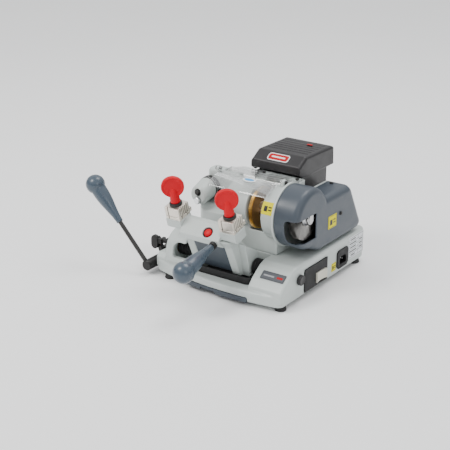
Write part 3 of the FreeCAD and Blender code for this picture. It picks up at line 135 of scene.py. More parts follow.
def surface(name, colour, rough, metal=0.0, mottle=0.06, mottle_scale=35, rough_spread=0.08,
            grain=0.1, grain_scale=1400, stretch=(1, 1, 1), wear=None, crease_shade=None, coat=0.0, shine=0.5):
    """A solid finish: mottled colour and roughness, a fine grain, worn edges and painted shade in corners."""
    material = bpy.data.materials.new(name)
    material.use_nodes = True
    tree = material.node_tree
    shader = tree.nodes["Principled BSDF"]
    place = node(tree, "TexCoord").outputs["Object"]
    stretched = node(tree, "Mapping", Vector=place, Scale=stretch).outputs[0]
    broad = node(tree, "TexNoise", Vector=place, Scale=mottle_scale, Detail=5, Roughness=0.6).outputs[0]
    fine = node(tree, "TexNoise", Vector=stretched, Scale=grain_scale, Detail=3, Roughness=0.6).outputs[0]
    look = blend_colour(tree, ramp(tree, broad, 0.3, 0.7), shade(colour, 1 - mottle),
                        shade(colour, 1 + mottle))
    point = node(tree, "NewGeometry").outputs["Pointiness"]
    # Painted shade: concave creases and corners are darkened towards the given crease colour, in blotches set by
    # noise.
    if crease_shade:
        crease_shade_mask = product(tree, ramp(tree, point, 0.5, 0.44), ramp(tree, broad, 0.35, 0.6, 0.2, 0.9))
        look = blend_colour(tree, crease_shade_mask, look, crease_shade)
    roughness = ramp(tree, broad, 0.3, 0.7, rough - rough_spread, rough + rough_spread)
    if wear:
        edge = product(tree, ramp(tree, point, 0.53, 0.58), ramp(tree, fine, 0.4, 0.6, 0.1, 0.7))
        look = blend_colour(tree, edge, look, wear)
    bump = node(tree, "Bump", Height=fine, Strength=grain, Distance=0.0003)
    tree.links.new(look, shader.inputs["Base Color"])
    tree.links.new(roughness, shader.inputs["Roughness"])
    tree.links.new(bump.outputs[0], shader.inputs["Normal"])
    shader.inputs["Metallic"].default_value = metal
    shader.inputs["Specular IOR Level"].default_value = shine
    shader.inputs["Coat Weight"].default_value = coat
    shader.inputs["Coat Roughness"].default_value = 0.15
    return material


def clear_sheet(name, tint, haze):
    """Clear plastic sheet: it lets light straight through and shines at glancing angles."""
    material = bpy.data.materials.new(name)
    material.use_nodes = True
    tree = material.node_tree
    tree.nodes.remove(tree.nodes["Principled BSDF"])
    place = node(tree, "TexCoord").outputs["Object"]
    smudge = node(tree, "TexNoise", Vector=place, Scale=60, Detail=6, Roughness=0.65).outputs[0]
    gloss = node(tree, "BsdfGlossy", Color=(1, 1, 1, 1), Roughness=ramp(tree, smudge, 0.35, 0.7, 0.03, 0.16))
    through = node(tree, "BsdfTransparent", Color=tint)
    film = node(tree, "BsdfDiffuse", Color=(0.8, 0.82, 0.84, 1))
    body = node(tree, "MixShader", Fac=ramp(tree, smudge, 0.35, 0.75, haze * 0.4, haze * 1.6))
    tree.links.new(through.outputs[0], body.inputs[1])
    tree.links.new(film.outputs[0], body.inputs[2])
    facing = node(tree, "LayerWeight", Blend=0.25).outputs["Fresnel"]
    mixed = node(tree, "MixShader", Fac=ramp(tree, facing, 0.0, 1.0, 0.05, 0.75))
    tree.links.new(body.outputs[0], mixed.inputs[1])
    tree.links.new(gloss.outputs[0], mixed.inputs[2])
    tree.links.new(mixed.outputs[0], tree.nodes["Material Output"].inputs["Surface"])
    return material


GREY = srgb(186, 193, 190)
# Where a finish is given a dark colour for its creases, that colour is painted shade in creases and corners.
MATERIALS = {
    "casting_grey": surface("enamel", GREY, 0.38, mottle=0.025, grain=0.12, grain_scale=900,
                            wear=srgb(214, 218, 216), crease_shade=srgb(120, 122, 118), coat=0.15),
    "slate_plastic": surface("slate_plastic", srgb(60, 68, 77), 0.36, mottle=0.04, grain=0.2,
                             grain_scale=2600, wear=srgb(84, 93, 103)),
    "grip_plastic": surface("grip_plastic", srgb(58, 72, 85), 0.28, mottle=0.04, grain=0.05,
                            grain_scale=1500, coat=0.3),
    "black_plastic": surface("black_plastic", srgb(28, 26, 28), 0.4, mottle=0.1, grain=0.25,
                             grain_scale=2600, wear=srgb(52, 50, 52)),
    "black_steel": surface("black_steel", srgb(22, 21, 21), 0.4, metal=0.2, mottle=0.2, grain=0.1,
                           wear=srgb(62, 60, 58)),
    "nickel_steel": surface("nickel_steel", srgb(228, 220, 208), 0.34, metal=0.9, mottle=0.07,
                            mottle_scale=90, grain=0.12, grain_scale=500, stretch=(1, 1, 9),
                            crease_shade=srgb(92, 78, 62)),
    # Painted shade: a dark brown finish for the strips in the jaw slots and the plate between the jaws.
    "gap_shade_steel": surface("gap_shade_steel", srgb(58, 46, 36), 0.45, metal=0.3, mottle=0.25,
                          mottle_scale=140, grain=0.1),
    "bright_steel": surface("bright_steel", srgb(200, 200, 200), 0.24, metal=1.0, mottle=0.06, grain=0.1,
                            grain_scale=500, stretch=(8, 1, 1)),
    "chromed_steel": surface("chromed_steel", srgb(225, 226, 228), 0.09, metal=1.0, mottle=0.03,
                             rough_spread=0.04, grain=0.02),
    "gold_cutter": surface("gold_cutter", srgb(206, 166, 92), 0.36, metal=1.0, mottle=0.12,
                           mottle_scale=120, grain=0.1, grain_scale=700, stretch=(8, 1, 1)),
    # Painted shade: a darker copy of the cutter's gold, for its side faces.
    "shaded_cutter_face": surface("shaded_cutter_face", srgb(150, 110, 62), 0.42, metal=0.8, mottle=0.2,
                           mottle_scale=90, grain=0.2, grain_scale=500),
    "red_plastic": surface("red_plastic", srgb(198, 0, 26), 0.4, mottle=0.05, grain=0.12,
                           grain_scale=2200, shine=0.18),
    "black_rubber": surface("black_rubber", srgb(28, 28, 29), 0.72, mottle=0.15, grain=0.4,
                            grain_scale=1800),
    "yellow_label": surface("yellow_label", srgb(228, 216, 0), 0.5, mottle=0.04, grain=0.03, shine=0.08),
    "silver_label": surface("silver_label", srgb(222, 225, 228), 0.42, mottle=0.03, grain=0.04),
    "dark_label": surface("dark_label", srgb(72, 75, 81), 0.42, mottle=0.05, grain=0.05),
    "grey_ink": surface("grey_ink", srgb(150, 152, 156), 0.45, mottle=0.05, grain=0.02),
    "switch_black": surface("switch_black", srgb(20, 19, 21), 0.5, mottle=0.1, grain=0.2,
                            grain_scale=2600, shine=0.3),
    "label_ink": surface("label_ink", srgb(34, 35, 36), 0.5, mottle=0.1, grain=0.02),
    "label_red": surface("label_red", srgb(176, 10, 18), 0.45, mottle=0.06, grain=0.02, shine=0.2),
    "label_blue": surface("label_blue", srgb(70, 150, 205), 0.4, mottle=0.05, grain=0.02),
    "label_white": surface("label_white", srgb(236, 238, 238), 0.42, mottle=0.03, grain=0.02),
    "white_plastic": surface("white_plastic", srgb(208, 206, 192), 0.38, mottle=0.05, grain=0.1,
                             grain_scale=2400, crease_shade=srgb(110, 104, 90)),
    "brush_wire": surface("brush_wire", srgb(165, 163, 160), 0.38, metal=1.0, mottle=0.25,
                          mottle_scale=400, grain=0.02),
    "aluminium": surface("aluminium", srgb(205, 206, 208), 0.34, metal=1.0, mottle=0.05, grain=0.12,
                         grain_scale=600, stretch=(8, 1, 1)),
    "grey_cast": surface("grey_cast", srgb(92, 93, 95), 0.62, metal=0.4, mottle=0.15, grain=0.6,
                         grain_scale=700),
    "brass_bush": surface("brass_bush", srgb(186, 150, 84), 0.32, metal=1.0, mottle=0.1, grain=0.1),
    "clear_plastic": clear_sheet("clear_plastic", (0.97, 0.975, 0.97, 1), 0.05),
}


# ---- mesh helpers -----------------------------------------------------------------------------

def arc(along, across, radius, start, end, steps=8):
    """Points of an arc, as (along, across) pairs. Angles are in degrees from the along axis."""
    turns = [math.radians(start + (end - start) * i / steps) for i in range(steps + 1)]
    return [(along + radius * math.cos(t), across + radius * math.sin(t)) for t in turns]


def lathe(profile, steps=72, wave=None):
    """Turns a closed profile of (along, radius) points about Z. wave(angle) scales the radii."""
    bm = bmesh.new()
    rings = []
    for along, radius in profile:
        if radius < 1e-7:
            rings.append([bm.verts.new((0, 0, along))])
            continue
        ring = []
        for i in range(steps):
            turn = 2 * math.pi * i / steps
            reach = radius * (wave(turn, radius) if wave else 1)
            ring.append(bm.verts.new((reach * math.cos(turn), reach * math.sin(turn), along)))
        rings.append(ring)
    closed = profile[0][1] > 1e-7 or profile[-1][1] > 1e-7
    pairs = list(zip(rings, rings[1:])) + ([(rings[-1], rings[0])] if closed else [])
    for low, high in pairs:
        for i in range(steps):
            j = (i + 1) % steps
            corners = [low[i % len(low)], low[j % len(low)], high[j % len(high)], high[i % len(high)]]
            corners = [c for n, c in enumerate(corners) if c not in corners[:n]]
            if len(corners) > 2:
                bm.faces.new(corners)
    bmesh.ops.recalc_face_normals(bm, faces=bm.faces)
    return bm


def prism(outline, depth):
    """Extrudes a closed outline in X and Y up to depth along Z."""
    bm = bmesh.new()
    low = [bm.verts.new((x, y, 0)) for x, y in outline]
    high = [bm.verts.new((x, y, depth)) for x, y in outline]
    bm.faces.new(low[::-1])
    bm.faces.new(high)
    for i in range(len(outline)):
        j = (i + 1) % len(outline)
        bm.faces.new((low[i], low[j], high[j], high[i]))
    bmesh.ops.recalc_face_normals(bm, faces=bm.faces)
    return bm


def rounded_box(width, height, radius, steps=6):
    """The outline of a plate with round corners, centred on zero."""
    points = []
    for cx, cy, start in ((1, 1, 0), (-1, 1, 90), (-1, -1, 180), (1, -1, 270)):
        points += arc(cx * (width / 2 - radius), cy * (height / 2 - radius), radius, start, start + 90, steps)
    return points


def block(size, centre=(0, 0, 0)):
    bm = bmesh.new()
    bmesh.ops.create_cube(bm, size=1)
    bmesh.ops.scale(bm, vec=size, verts=bm.verts)
    bmesh.ops.translate(bm, vec=centre, verts=bm.verts)
    return bm


def joined(parts):
    """All the meshes as one. It frees the parts."""
    bm = bmesh.new()
    for part in parts:
        mesh = bpy.data.meshes.new("part")
        part.to_mesh(mesh)
        part.free()
        bm.from_mesh(mesh)
        bpy.data.meshes.remove(mesh)
    return bm


def stand(axis, up=None):
    """The turn that takes Z to axis and Y near to up."""
    axis = Vector(axis).normalized()
    if up is None:
        return Z.rotation_difference(axis).to_matrix().to_4x4()
    side = Vector(up).cross(axis).normalized()
    return Matrix((side, axis.cross(side), axis)).transposed().to_4x4()


def moved(bm, matrix):
    bmesh.ops.transform(bm, matrix=matrix, verts=bm.verts)
    return bm


def at(origin, axis=Z, up=None):
    """The place of a piece drawn upright on zero: its foot on origin, its height along axis."""
    return Matrix.Translation(origin) @ stand(axis, up)


def finish_look(thing, sharp):
    """Shades faces smooth, and keeps edges that turn more than sharp degrees crisp."""
    for polygon in thing.data.polygons:
        polygon.use_smooth = True
    bm = bmesh.new()
    bm.from_mesh(thing.data)
    for edge in bm.edges:
        edge.smooth = len(edge.link_faces) == 2 and edge.calc_face_angle(0) < math.radians(sharp)
    bm.to_mesh(thing.data)
    bm.free()


def piece(name, bm, like, material=None, matrix=None, replaces=(), sharp=32, ride=True):
    """Makes a piece that rides with the CAD node it is like, and takes that node's slot."""
    if matrix is not None:
        moved(bm, matrix)
    mesh = bpy.data.meshes.new(name)
    bm.to_mesh(mesh)
    bm.free()
    thing = bpy.data.objects.new(name, mesh)
    bpy.context.scene.collection.objects.link(thing)
    finish_look(thing, sharp)
    mesh.materials.append(MATERIALS[material or SLOTS[like]])
    if ride:
        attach(thing, BODY_OF[like])
    if replaces:
        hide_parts(*replaces)
    return thing


def bevelled(thing, width, segments=3, angle=30):
    bevel = thing.modifiers.new("edge", "BEVEL")
    bevel.width = width
    bevel.segments = segments
    bevel.limit_method = "ANGLE"
    bevel.angle_limit = math.radians(angle)
    bevel.harden_normals = False
    return thing


def melted(thing, voxel, rounds):
    """Joins a shape's overlapping parts and rounds every edge, as moulding or casting does."""
    remesh = thing.modifiers.new("skin", "REMESH")
    remesh.mode = "VOXEL"
    remesh.voxel_size = voxel
    remesh.use_smooth_shade = True
    smooth = thing.modifiers.new("round", "SMOOTH")
    smooth.factor = 0.5
    smooth.iterations = rounds
    return thing


# ---- CAD nodes that stay, with their finishes and softened edges ----------------------------------

DARKER = {"switch_housing": "switch_black", "mains_inlet": "switch_black"}  # darker than their slot
CAST = {  # voxel in millimetres and smoothing rounds
    "base_casting": (1.5, 6), "head_casting": (1.3, 8), "carriage_casting": (0.8, 5),
    "belt_cover": (1.0, 7), "tracer_housing": (0.6, 8), "motor_cover": (0.9, 3),
    "lever_hub": (0.5, 6), "shift_link": (0.5, 5), "guard_panel": (0.6, 3),
}
EDGED = {  # bevel width in millimetres
    "chip_tray": 0.4, "motor_plinth": 0.8, "cover_backplate": 0.5, "switch_housing": 0.5,
    "mains_inlet": 0.4, "lever_pivot": 0.8, "safety_shield": 0.3, "shield_strip": 0.4,
    "swarf_mat": 0.4, "rubber_feet": 0.5, "motor_foot": 0.8, "spindle_nuts": 0.6,
}


def weld(thing):
    merge = thing.modifiers.new("weld", "WELD")
    merge.merge_threshold = 0.01 * MM


def dress_cad_nodes():
    for name, thing in NODES.items():
        thing.data.materials.clear()
        thing.data.materials.append(MATERIALS[DARKER.get(name, SLOTS[name])])
        if name in CAST:
            weld(thing)
            voxel, rounds = CAST[name]
            melted(thing, voxel * MM, rounds)
        elif name in EDGED:
            weld(thing)
            bevelled(thing, EDGED[name] * MM, 2)


# ---- small repeated hardware --------------------------------------------------------------------

def socket_screw(radius, height, hexagon):
    """A screw head with a domed rim and a hexagonal socket, its underside on Z = 0."""
    crown = 0.35 * height
    side = [(0, 0), (0, radius * 0.96), (0.1 * height, radius), (height - crown, radius)]
    dome = [(height - crown + crown * math.sin(a), radius - crown * (1 - math.cos(a)))
            for a in (math.radians(30), math.radians(60), math.radians(90))]
    bm = lathe(side + dome + [(height, hexagon * 1.25), (height, 0)], steps=36)
    top = [f for f in bm.faces if all(v.co.z > height - 1e-7 for v in f.verts)]
    bmesh.ops.delete(bm, geom=top, context="FACES")
    hole = [e for e in bm.edges if e.is_boundary]
    rim = sorted({v for e in hole for v in e.verts if v.co.to_2d().length > 1e-6},
                 key=lambda v: math.atan2(v.co.y, v.co.x))
    inner = []
    for vert in rim:
        turn = math.atan2(vert.co.y, vert.co.x)
        flat = (turn % (math.pi / 3)) - math.pi / 6
        reach = hexagon * math.cos(math.pi / 6) / math.cos(flat)
        inner.append((reach * math.cos(turn), reach * math.sin(turn)))
    high = [bm.verts.new((x, y, height)) for x, y in inner]
    deep = [bm.verts.new((x, y, height * 0.35)) for x, y in inner]
    for i in range(len(rim)):
        j = (i + 1) % len(rim)
        bm.faces.new((rim[i], rim[j], high[j], high[i]))
        bm.faces.new((high[i], high[j], deep[j], deep[i]))
    bm.faces.new(deep)
    bmesh.ops.delete(bm, geom=[v for v in bm.verts if not v.link_faces], context="VERTS")
    bmesh.ops.recalc_face_normals(bm, faces=bm.faces)
    return bm


def ball_grip(start, ball, radius, neck, waist):
    """A grip's profile: a flared end, a slim waist and a ball, all in one smooth line."""
    points = [(start, 0), (start, neck - 0.6 * MM), (start + 0.6 * MM, neck)]
    touch = math.radians(128)
    join_at = ball + radius * math.cos(touch)
    join_radius = radius * math.sin(touch)
    length = join_at - start
    for i in range(1, 17):
        t = i / 17
        swell = t * t * t * (t * (6 * t - 15) + 10)
        taper = neck + (waist - neck) * min(1, t * 2.2)
        points.append((start + length * t, taper + (join_radius - taper) * swell))
    points += arc(ball, 0, radius, 128, 0, 22)
    return points[:-1] + [(ball + radius, 0)]


def grip(name, like, origin, axis, start, ball, radius, neck, waist):
    profile = ball_grip(start, ball, radius, neck, waist)
    return piece(name, lathe(profile, 64), like, "grip_plastic", at(origin, axis), (like,), sharp=50)


# ---- levers -----------------------------------------------------------------------------------

def side_lever():
    low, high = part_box("lever_grip")
    radius = 19 * MM
    ball = Vector((low.x + radius, (low.y + high.y) / 2, high.z - radius))
    pivot = joint_at("side_lever_swing")
    pivot.y = ball.y
    grip("side_grip", "lever_grip", pivot, ball - pivot, 100 * MM, (ball - pivot).length, radius,
         6.4 * MM, 8 * MM)


def front_lever():
    low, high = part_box("front_lever_grip")
    radius = 20 * MM
    ball = Vector(((low.x + high.x) / 2, low.y + radius, low.z + radius))
    nut = middle("front_lever_nut")
    axis = (ball - nut).normalized()
    grip("front_grip", "front_lever_grip", nut, axis, 4.8 * MM, (ball - nut).length, radius,
         6.6 * MM, 8 * MM)
    corner = 8 * MM
    thick = 7.5 * MM
    turns = [math.radians(60 * i) for i in range(6)]
    hexagon = prism([(corner * math.cos(t), corner * math.sin(t)) for t in turns], thick)
    hexagon = piece("front_lever_hex_nut", hexagon, "front_lever_nut",
                    matrix=at(nut - axis * thick / 2, axis), replaces=("front_lever_nut",))
    bevelled(hexagon, 0.7 * MM)


# ---- clamps -----------------------------------------------------------------------------------

JAW_HALF = 16 * MM
SLOT_WIDE = 1.7 * MM
SLOT_DEEP = 3 * MM
FRONT_SLOT = -0.62 * JAW_HALF  # where the front slot starts, in X


def slot_shade_strips(slots, low, high):
    """Painted shade: dark strips that fill a jaw block's slots to just under its faces."""
    under = 0.7 * MM
    deep = SLOT_DEEP - under
    tall = high - low - 2 * under
    level = (low + high) / 2
    inside = JAW_HALF - under - deep / 2
    strips = [block((deep, SLOT_WIDE, tall), (inside, y, level)) for y in slots]
    strips.append(block((SLOT_WIDE, deep, tall), (FRONT_SLOT + SLOT_WIDE / 2, -inside, level)))
    return joined(strips)


def jaw_outline(slots):
    """A square block seen from above, with narrow slots in its +X side and one at the front."""
    half = JAW_HALF
    points = [(-half, -half), (FRONT_SLOT, -half), (FRONT_SLOT, -half + SLOT_DEEP),
              (FRONT_SLOT + SLOT_WIDE, -half + SLOT_DEEP), (FRONT_SLOT + SLOT_WIDE, -half), (half, -half)]
    for y in slots:
        points += [(half, y - SLOT_WIDE / 2), (half - SLOT_DEEP, y - SLOT_WIDE / 2),
                   (half - SLOT_DEEP, y + SLOT_WIDE / 2), (half, y + SLOT_WIDE / 2)]
    return points + [(half, half), (-half, half)]


def clamp(side):
    """One clamp, built upright on its stud's foot and then leaned along the stud."""
    joint = JOINTS[side + "_clamp_turn"]
    axis = Vector(joint["axis"])
    upright = at(Vector(joint["pos_m"]) - axis * 30 * MM, axis, Y)
    half = JAW_HALF
    for part, low, high, nose_z, slots in (("upper_jaw_", 6.6, 25, 8.6, (-10, -5.5, -1, 4, 9.5)),
                                           ("lower_jaw_", 0, 6, 4, (-7, 8))):
        name = part + side
        slots = [y * MM for y in slots]
        outline = jaw_outline(slots)
        body = moved(prism(outline, (high - low) * MM), Matrix.Translation((0, 0, low * MM)))
        nose = block((2 * half, 7 * MM, 4 * MM), (0, half + 2.5 * MM, nose_z * MM))
        thing = piece(name + "_block", joined([body, nose]), name, matrix=upright, replaces=(name,))
        bevelled(thing, 0.6 * MM, 2)
        # Painted shade in the jaw block's slots.
        fills = slot_shade_strips(slots, low * MM, high * MM)
        piece(name + "_slot_shade_fill", fills, name, "gap_shade_steel", upright)
    # Painted shade: a thin dark plate in the gap between the upper and lower jaw.
    seam_shade = block((2 * half - 1.2 * MM, 2 * half - 1.2 * MM, 0.5 * MM), (0, 0, 6.25 * MM))
    piece("lower_jaw_" + side + "_seam", seam_shade, "lower_jaw_" + side, "gap_shade_steel", upright)
    collar = "clamp_collar_" + side
    profile = [(25.1, 5.2), (25.1, 12.2)] + arc(28.9, 10.4, 1.8, 90, 0, 5) + [(30.7, 8.5), (30.7, 5.2)]
    profile = [(along * MM, radius * MM) for along, radius in profile]
    piece(collar + "_turned", lathe(profile), collar, matrix=upright, replaces=(collar,))
    wing_knob(side, upright)


def wing_knob(side, upright):
    """A flat round head with a rolled rim, on a neck that runs up its face as a rounded tongue."""
    name = "clamp_knob_" + side
    radius = 21.4
    half_thick = 5
    rim_round = 2.6
    centre_up = 63
    yaw = math.radians(35)
    face = Vector((math.sin(yaw), -math.cos(yaw), 0))
    rim = arc(half_thick - rim_round, radius - rim_round, rim_round, 0, 90, 6)
    rim += [(-a, r) for a, r in reversed(rim)]
    web = half_thick - 1.5
    profile = [(web, 0), (web, radius - 5)] + rim + [(-web, radius - 5), (-web, 0)]
    head = moved(lathe([(a * MM, r * MM) for a, r in profile], 72), at((0, 0, centre_up * MM), face))
    neck = [(30, 0), (30, 8.6), (32, 9.6), (38, 9.3), (47, 8.4), (55, 7.2), (60, 5.2), (62, 0)]
    neck = lathe([(a * MM, r * MM) for a, r in neck], 48)
    moulding = piece(name + "_moulded", joined([head, neck]), name, matrix=upright, replaces=(name,))
    melted(moulding, 0.5 * MM, 8)
    foot, top, stud_radius = -15 * MM, 31 * MM, 4.9 * MM
    stem = lathe([(foot, 0), (foot, stud_radius), (top, stud_radius), (top, 0)], 36)
    piece(name + "_stud", stem, name, "bright_steel", upright)


# ---- bellows, brush, cutter ---------------------------------------------------------------------

def bellows(name, folds, fixed_at_left):
    """A rubber boot in waves, between the base and the shaft."""
    low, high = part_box(name)
    outer, inner = 15.4 * MM, 11.6 * MM
    length = high.x - low.x
    wall = 1.1 * MM
    steps = folds * 10
    outside = []
    for i in range(steps + 1):
        swing = 0.5 - 0.5 * math.cos(2 * math.pi * folds * i / steps)
        outside.append((length * i / steps, inner + (outer - inner) * swing ** 0.8))
    inside = [(along, radius - wall) for along, radius in reversed(outside)]
    start = Vector((low.x, SHAFT.y, SHAFT.z))
    end = Vector((high.x, SHAFT.y, SHAFT.z))
    if not fixed_at_left:
        start, end = end, start
    boot = piece(name + "_rubber", lathe(outside + inside, 56), name, matrix=at((low.x, SHAFT.y, SHAFT.z), X),
                 replaces=(name,), sharp=70, ride=False)
    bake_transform(boot)


def wire_brush():
    """A wheel of crimped steel wires between two pressed flanges."""
    low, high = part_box("wire_brush")
    chance = random.Random(4)
    centre = Vector(((low.x + high.x) / 2, SPINDLE.y, SPINDLE.z))
    wires = bmesh.new()
    thick = 0.28 * MM
    for _ in range(3600):
        turn = chance.uniform(0, 2 * math.pi)
        lean = chance.gauss(0, 0.05)
        foot_x = chance.uniform(-4.5, 4.5) * MM
        tip_x = max(-7.8 * MM, min(7.8 * MM, foot_x * 1.6 + chance.gauss(0, 0.7) * MM))
        reach = 41.8 * MM - abs(chance.gauss(0, 0.5)) * MM
        points = []
        for share in (0, 0.4, 0.72, 1):
            radius = 13 * MM + (reach - 13 * MM) * share
            bend = turn + lean * share + chance.gauss(0, 0.012) * share
            points.append(Vector((foot_x + (tip_x - foot_x) * share, radius * math.cos(bend),
                                  radius * math.sin(bend))))
        across = Vector((0, -math.sin(turn), math.cos(turn))) * thick
        rings = [[wires.verts.new(p + X * thick), wires.verts.new(p + across),
                  wires.verts.new(p - X * thick), wires.verts.new(p - across)] for p in points]
        for below, above in zip(rings, rings[1:]):
            for i in range(4):
                j = (i + 1) % 4
                wires.faces.new((below[i], below[j], above[j], above[i]))
        wires.faces.new(rings[0][::-1])
        wires.faces.new(rings[-1])
    piece("brush_wires", wires, "wire_brush", matrix=Matrix.Translation(centre), replaces=("wire_brush",),
          sharp=80)
    for side, reach in ((-1, low.x - centre.x), (1, high.x - centre.x)):
        end = abs(reach)
        profile = [(3.5 * MM, 8.1 * MM), (3.5 * MM, 13 * MM), (6.4 * MM, 15 * MM), (7.4 * MM, 14.4 * MM),
                   (7 * MM, 12 * MM), (end - 1 * MM, 11.5 * MM), (end, 10.5 * MM), (end, 8.1 * MM)]
        piece("brush_flange_" + ("left" if side < 0 else "right"), lathe(profile), "wire_brush",
              "aluminium", at(centre, X * side), sharp=40)


def cutter():
    """A coated milling wheel: saw teeth round the rim, a relieved face in a darker copy of the gold as painted
    shade, and a ground hub.
    """
    low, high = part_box("cutter")
    wide = high.x - low.x
    radius = (high.z - low.z) / 2
    teeth = 72
    outline = []
    for i in range(teeth):
        for share, depth in ((0.0, 0), (0.62, 0.45), (0.66, 2.0), (0.9, 1.6)):
            turn = 2 * math.pi * (i + share) / teeth
            reach = radius - depth * MM
            outline.append((reach * math.cos(turn), reach * math.sin(turn)))
    rim = prism(outline, wide)
    moved(rim, at((low.x, SPINDLE.y, SPINDLE.z), X))
    piece("cutter_rim", rim, "cutter", replaces=("cutter",), sharp=20)
    for name, start, axis in (("left", low.x, -X), ("right", high.x, X)):
        # Painted shade: thin discs in the darker gold cover the cutter's side faces.
        face = lathe([(0, 8.1 * MM), (0, 37 * MM), (0.25 * MM, 37 * MM), (0.25 * MM, 8.1 * MM)])
        piece("cutter_face_" + name, face, "cutter", "shaded_cutter_face", at((start, SPINDLE.y, SPINDLE.z), axis))


# ---- head details -------------------------------------------------------------------------------

def hinge_hardware():
    low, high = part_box("hinge_screws")
    y, z = (low.y + high.y) / 2, (low.z + high.z) / 2
    for name, x, axis in (("left", low.x + 2.5 * MM, -X), ("right", high.x - 2.5 * MM, X)):
        head = socket_screw(4 * MM, 2.5 * MM, 1.7 * MM)
        replaces = ("hinge_screws",) if name == "left" else ()
        piece("hinge_screw_" + name, head, "hinge_screws", matrix=at((x, y, z), axis), replaces=replaces)
        pin = lathe([(-8.5 * MM, 0), (-8.5 * MM, 2 * MM), (0.2 * MM, 2 * MM), (0.2 * MM, 0)], 24)
        piece("hinge_pin_" + name, pin, "hinge_screws", matrix=at((x, y, z), axis))


def top_screws():
    """Screws on the clear strip, the belt cover's top and its outer face."""
    places = [(drawn(14, -3, 201), Z), (drawn(88, -3, 201), Z),
              (drawn(114, 80, 176), Z), (drawn(150, 55, 131), X)]
    for number, (spot, axis) in enumerate(places):
        head = socket_screw(3.8 * MM, 2.4 * MM, 1.6 * MM)
        piece("cover_screw_%d" % number, head, "cover_screws", matrix=at(spot, axis),
              replaces=("cover_screws",) if number == 0 else ())


def tracer_ring():
    """The graduated ring: a knurled rear band, a smooth band with white marks."""
    low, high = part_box("tracer_ring")
    radius = (high.z - low.z) / 2
    centre = joint_at("ring_turn")
    wide = high.y - low.y
    start = Vector((centre.x, high.y, centre.z))

    def knurl(turn, at_radius):
        return 1 + (0.012 * math.cos(60 * turn) if at_radius > radius * 0.985 else 0)

    bore = 13.2 * MM
    band = radius - 1 * MM
    crest = radius - 0.3 * MM
    profile = [(0, bore), (0, band), (0.6 * MM, crest), (wide * 0.42, crest), (wide * 0.45, band),
               (wide * 0.55, band), (wide - 1.2 * MM, band), (wide, band - 1.4 * MM), (wide, bore)]
    piece("tracer_ring_turned", lathe(profile, 180, knurl), "tracer_ring", matrix=at(start, -Y),
          replaces=("tracer_ring",))
    marks = []
    for i in range(40):
        long = (5 if i % 5 == 0 else 3) * MM
        mark = block((0.5 * MM, 0.16 * MM, long), (0, radius - 0.98 * MM, wide - 1.4 * MM - long / 2))
        marks.append(moved(mark, Matrix.Rotation(2 * math.pi * i / 40, 4, "Z")))
    piece("tracer_marks", joined(marks), "tracer_ring", "label_white", at(start, -Y))


def pin_along_y(name):
    """A round CAD pin's rear middle, its length and its radius."""
    low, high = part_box(name)
    return Vector(((low.x + high.x) / 2, high.y, (low.z + high.z) / 2)), high.y - low.y, (high.z - low.z) / 2


def tracer_lock():
    """The lock screw: a stud with a knurled grip and a chamfered end."""
    rear, length, radius = pin_along_y("tracer_lock_screw")
    teeth = 20
    shank = radius * 0.82
    grip_radius = radius * 0.96

    def knurl(turn, at_radius):
        return 1 + (0.03 * math.cos(teeth * turn) if at_radius > radius * 0.9 else 0)

    profile = [(0, 0), (0, shank), (length * 0.62, shank), (length * 0.66, grip_radius),
               (length - 1.2 * MM, grip_radius), (length, radius * 0.78), (length, radius * 0.4),
               (length - 0.8 * MM, 0)]
    piece("tracer_lock_knob", lathe(profile, teeth * 6, knurl), "tracer_lock_screw",
          matrix=at(rear, -Y), replaces=("tracer_lock_screw",))


def tracer_finger():
    rear, length, radius = pin_along_y("tracer_point")
    start = 0.9 * MM
    collar_end = length - 9 * MM
    slim = radius - 1 * MM
    profile = [(start, 0), (start, radius), (collar_end, radius), (collar_end + 1 * MM, slim),
               (length - 3 * MM, slim), (length, 3.4 * MM), (length, 0)]
    piece("tracer_finger", lathe(profile), "tracer_point", matrix=at(rear, -Y), replaces=("tracer_point",))


# ---- carriage and base details --------------------------------------------------------------------

def release_button():
    low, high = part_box("release_button")
    axis = Vector((0, -1, 1)).normalized()
    centre = (low + high) / 2
    radius = 8 * MM
    bottom, shoulder, dome = -1.4 * MM, -0.6 * MM, 4.2 * MM
    turns = [math.radians(10 * i) for i in range(1, 9)]
    profile = [(bottom, 0), (bottom, radius), (shoulder, radius)]
    profile += [(shoulder + dome * math.sin(t), radius * math.cos(t) ** 0.8) for t in turns]
    profile += [(shoulder + dome, 0)]
    piece("release_button_cap", lathe(profile, 56), "release_button", matrix=at(centre, axis),
          replaces=("release_button",), sharp=60)
    ring = lathe([(-5 * MM, 8.3 * MM), (-5 * MM, 10.3 * MM), (0.2 * MM, 10.3 * MM), (0.2 * MM, 9.4 * MM),
                  (-1.5 * MM, 8.3 * MM)], 56)
    piece("release_button_bezel", ring, "carriage_casting", "black_plastic", at(centre, axis))


def carriage_screws():
    for number, (y, z) in enumerate(((-110.5, 40.5), (-113.4, 47))):
        head = socket_screw(2 * MM, 1.9 * MM, 0.9 * MM)
        piece("carriage_screw_%d" % number, head, "carriage_screws", matrix=at(drawn(58, y, z), X),
              replaces=("carriage_screws",) if number == 0 else ())


def plate_set(name, like, origin, axis, up, size, thick, radius, material=None, replaces=()):
    """A thin plate with round corners, its back on origin and its height along up."""
    plate = prism(rounded_box(size[0], size[1], radius), thick)
    plate = piece(name, plate, like, material, at(origin, axis, up), replaces)
    return bevelled(plate, min(0.15 * MM, thick * 0.3), 1)


def ink_bars(name, like, origin, axis, up, bars, lift, material="label_ink"):
    """Flat bars printed on a label. A bar is (across, up, width, height), in millimetres."""
    parts = [block((w * MM, h * MM, 0.12 * MM), (x * MM, y * MM, lift)) for x, y, w, h in bars]
    return piece(name, joined(parts), like, material, at(origin, axis, up))


def frame_bars(width, height, line):
    """Four bars that frame a label."""
    return [(0, height / 2, width, line), (0, -height / 2, width, line),
            (width / 2, 0, line, height), (-width / 2, 0, line, height)]


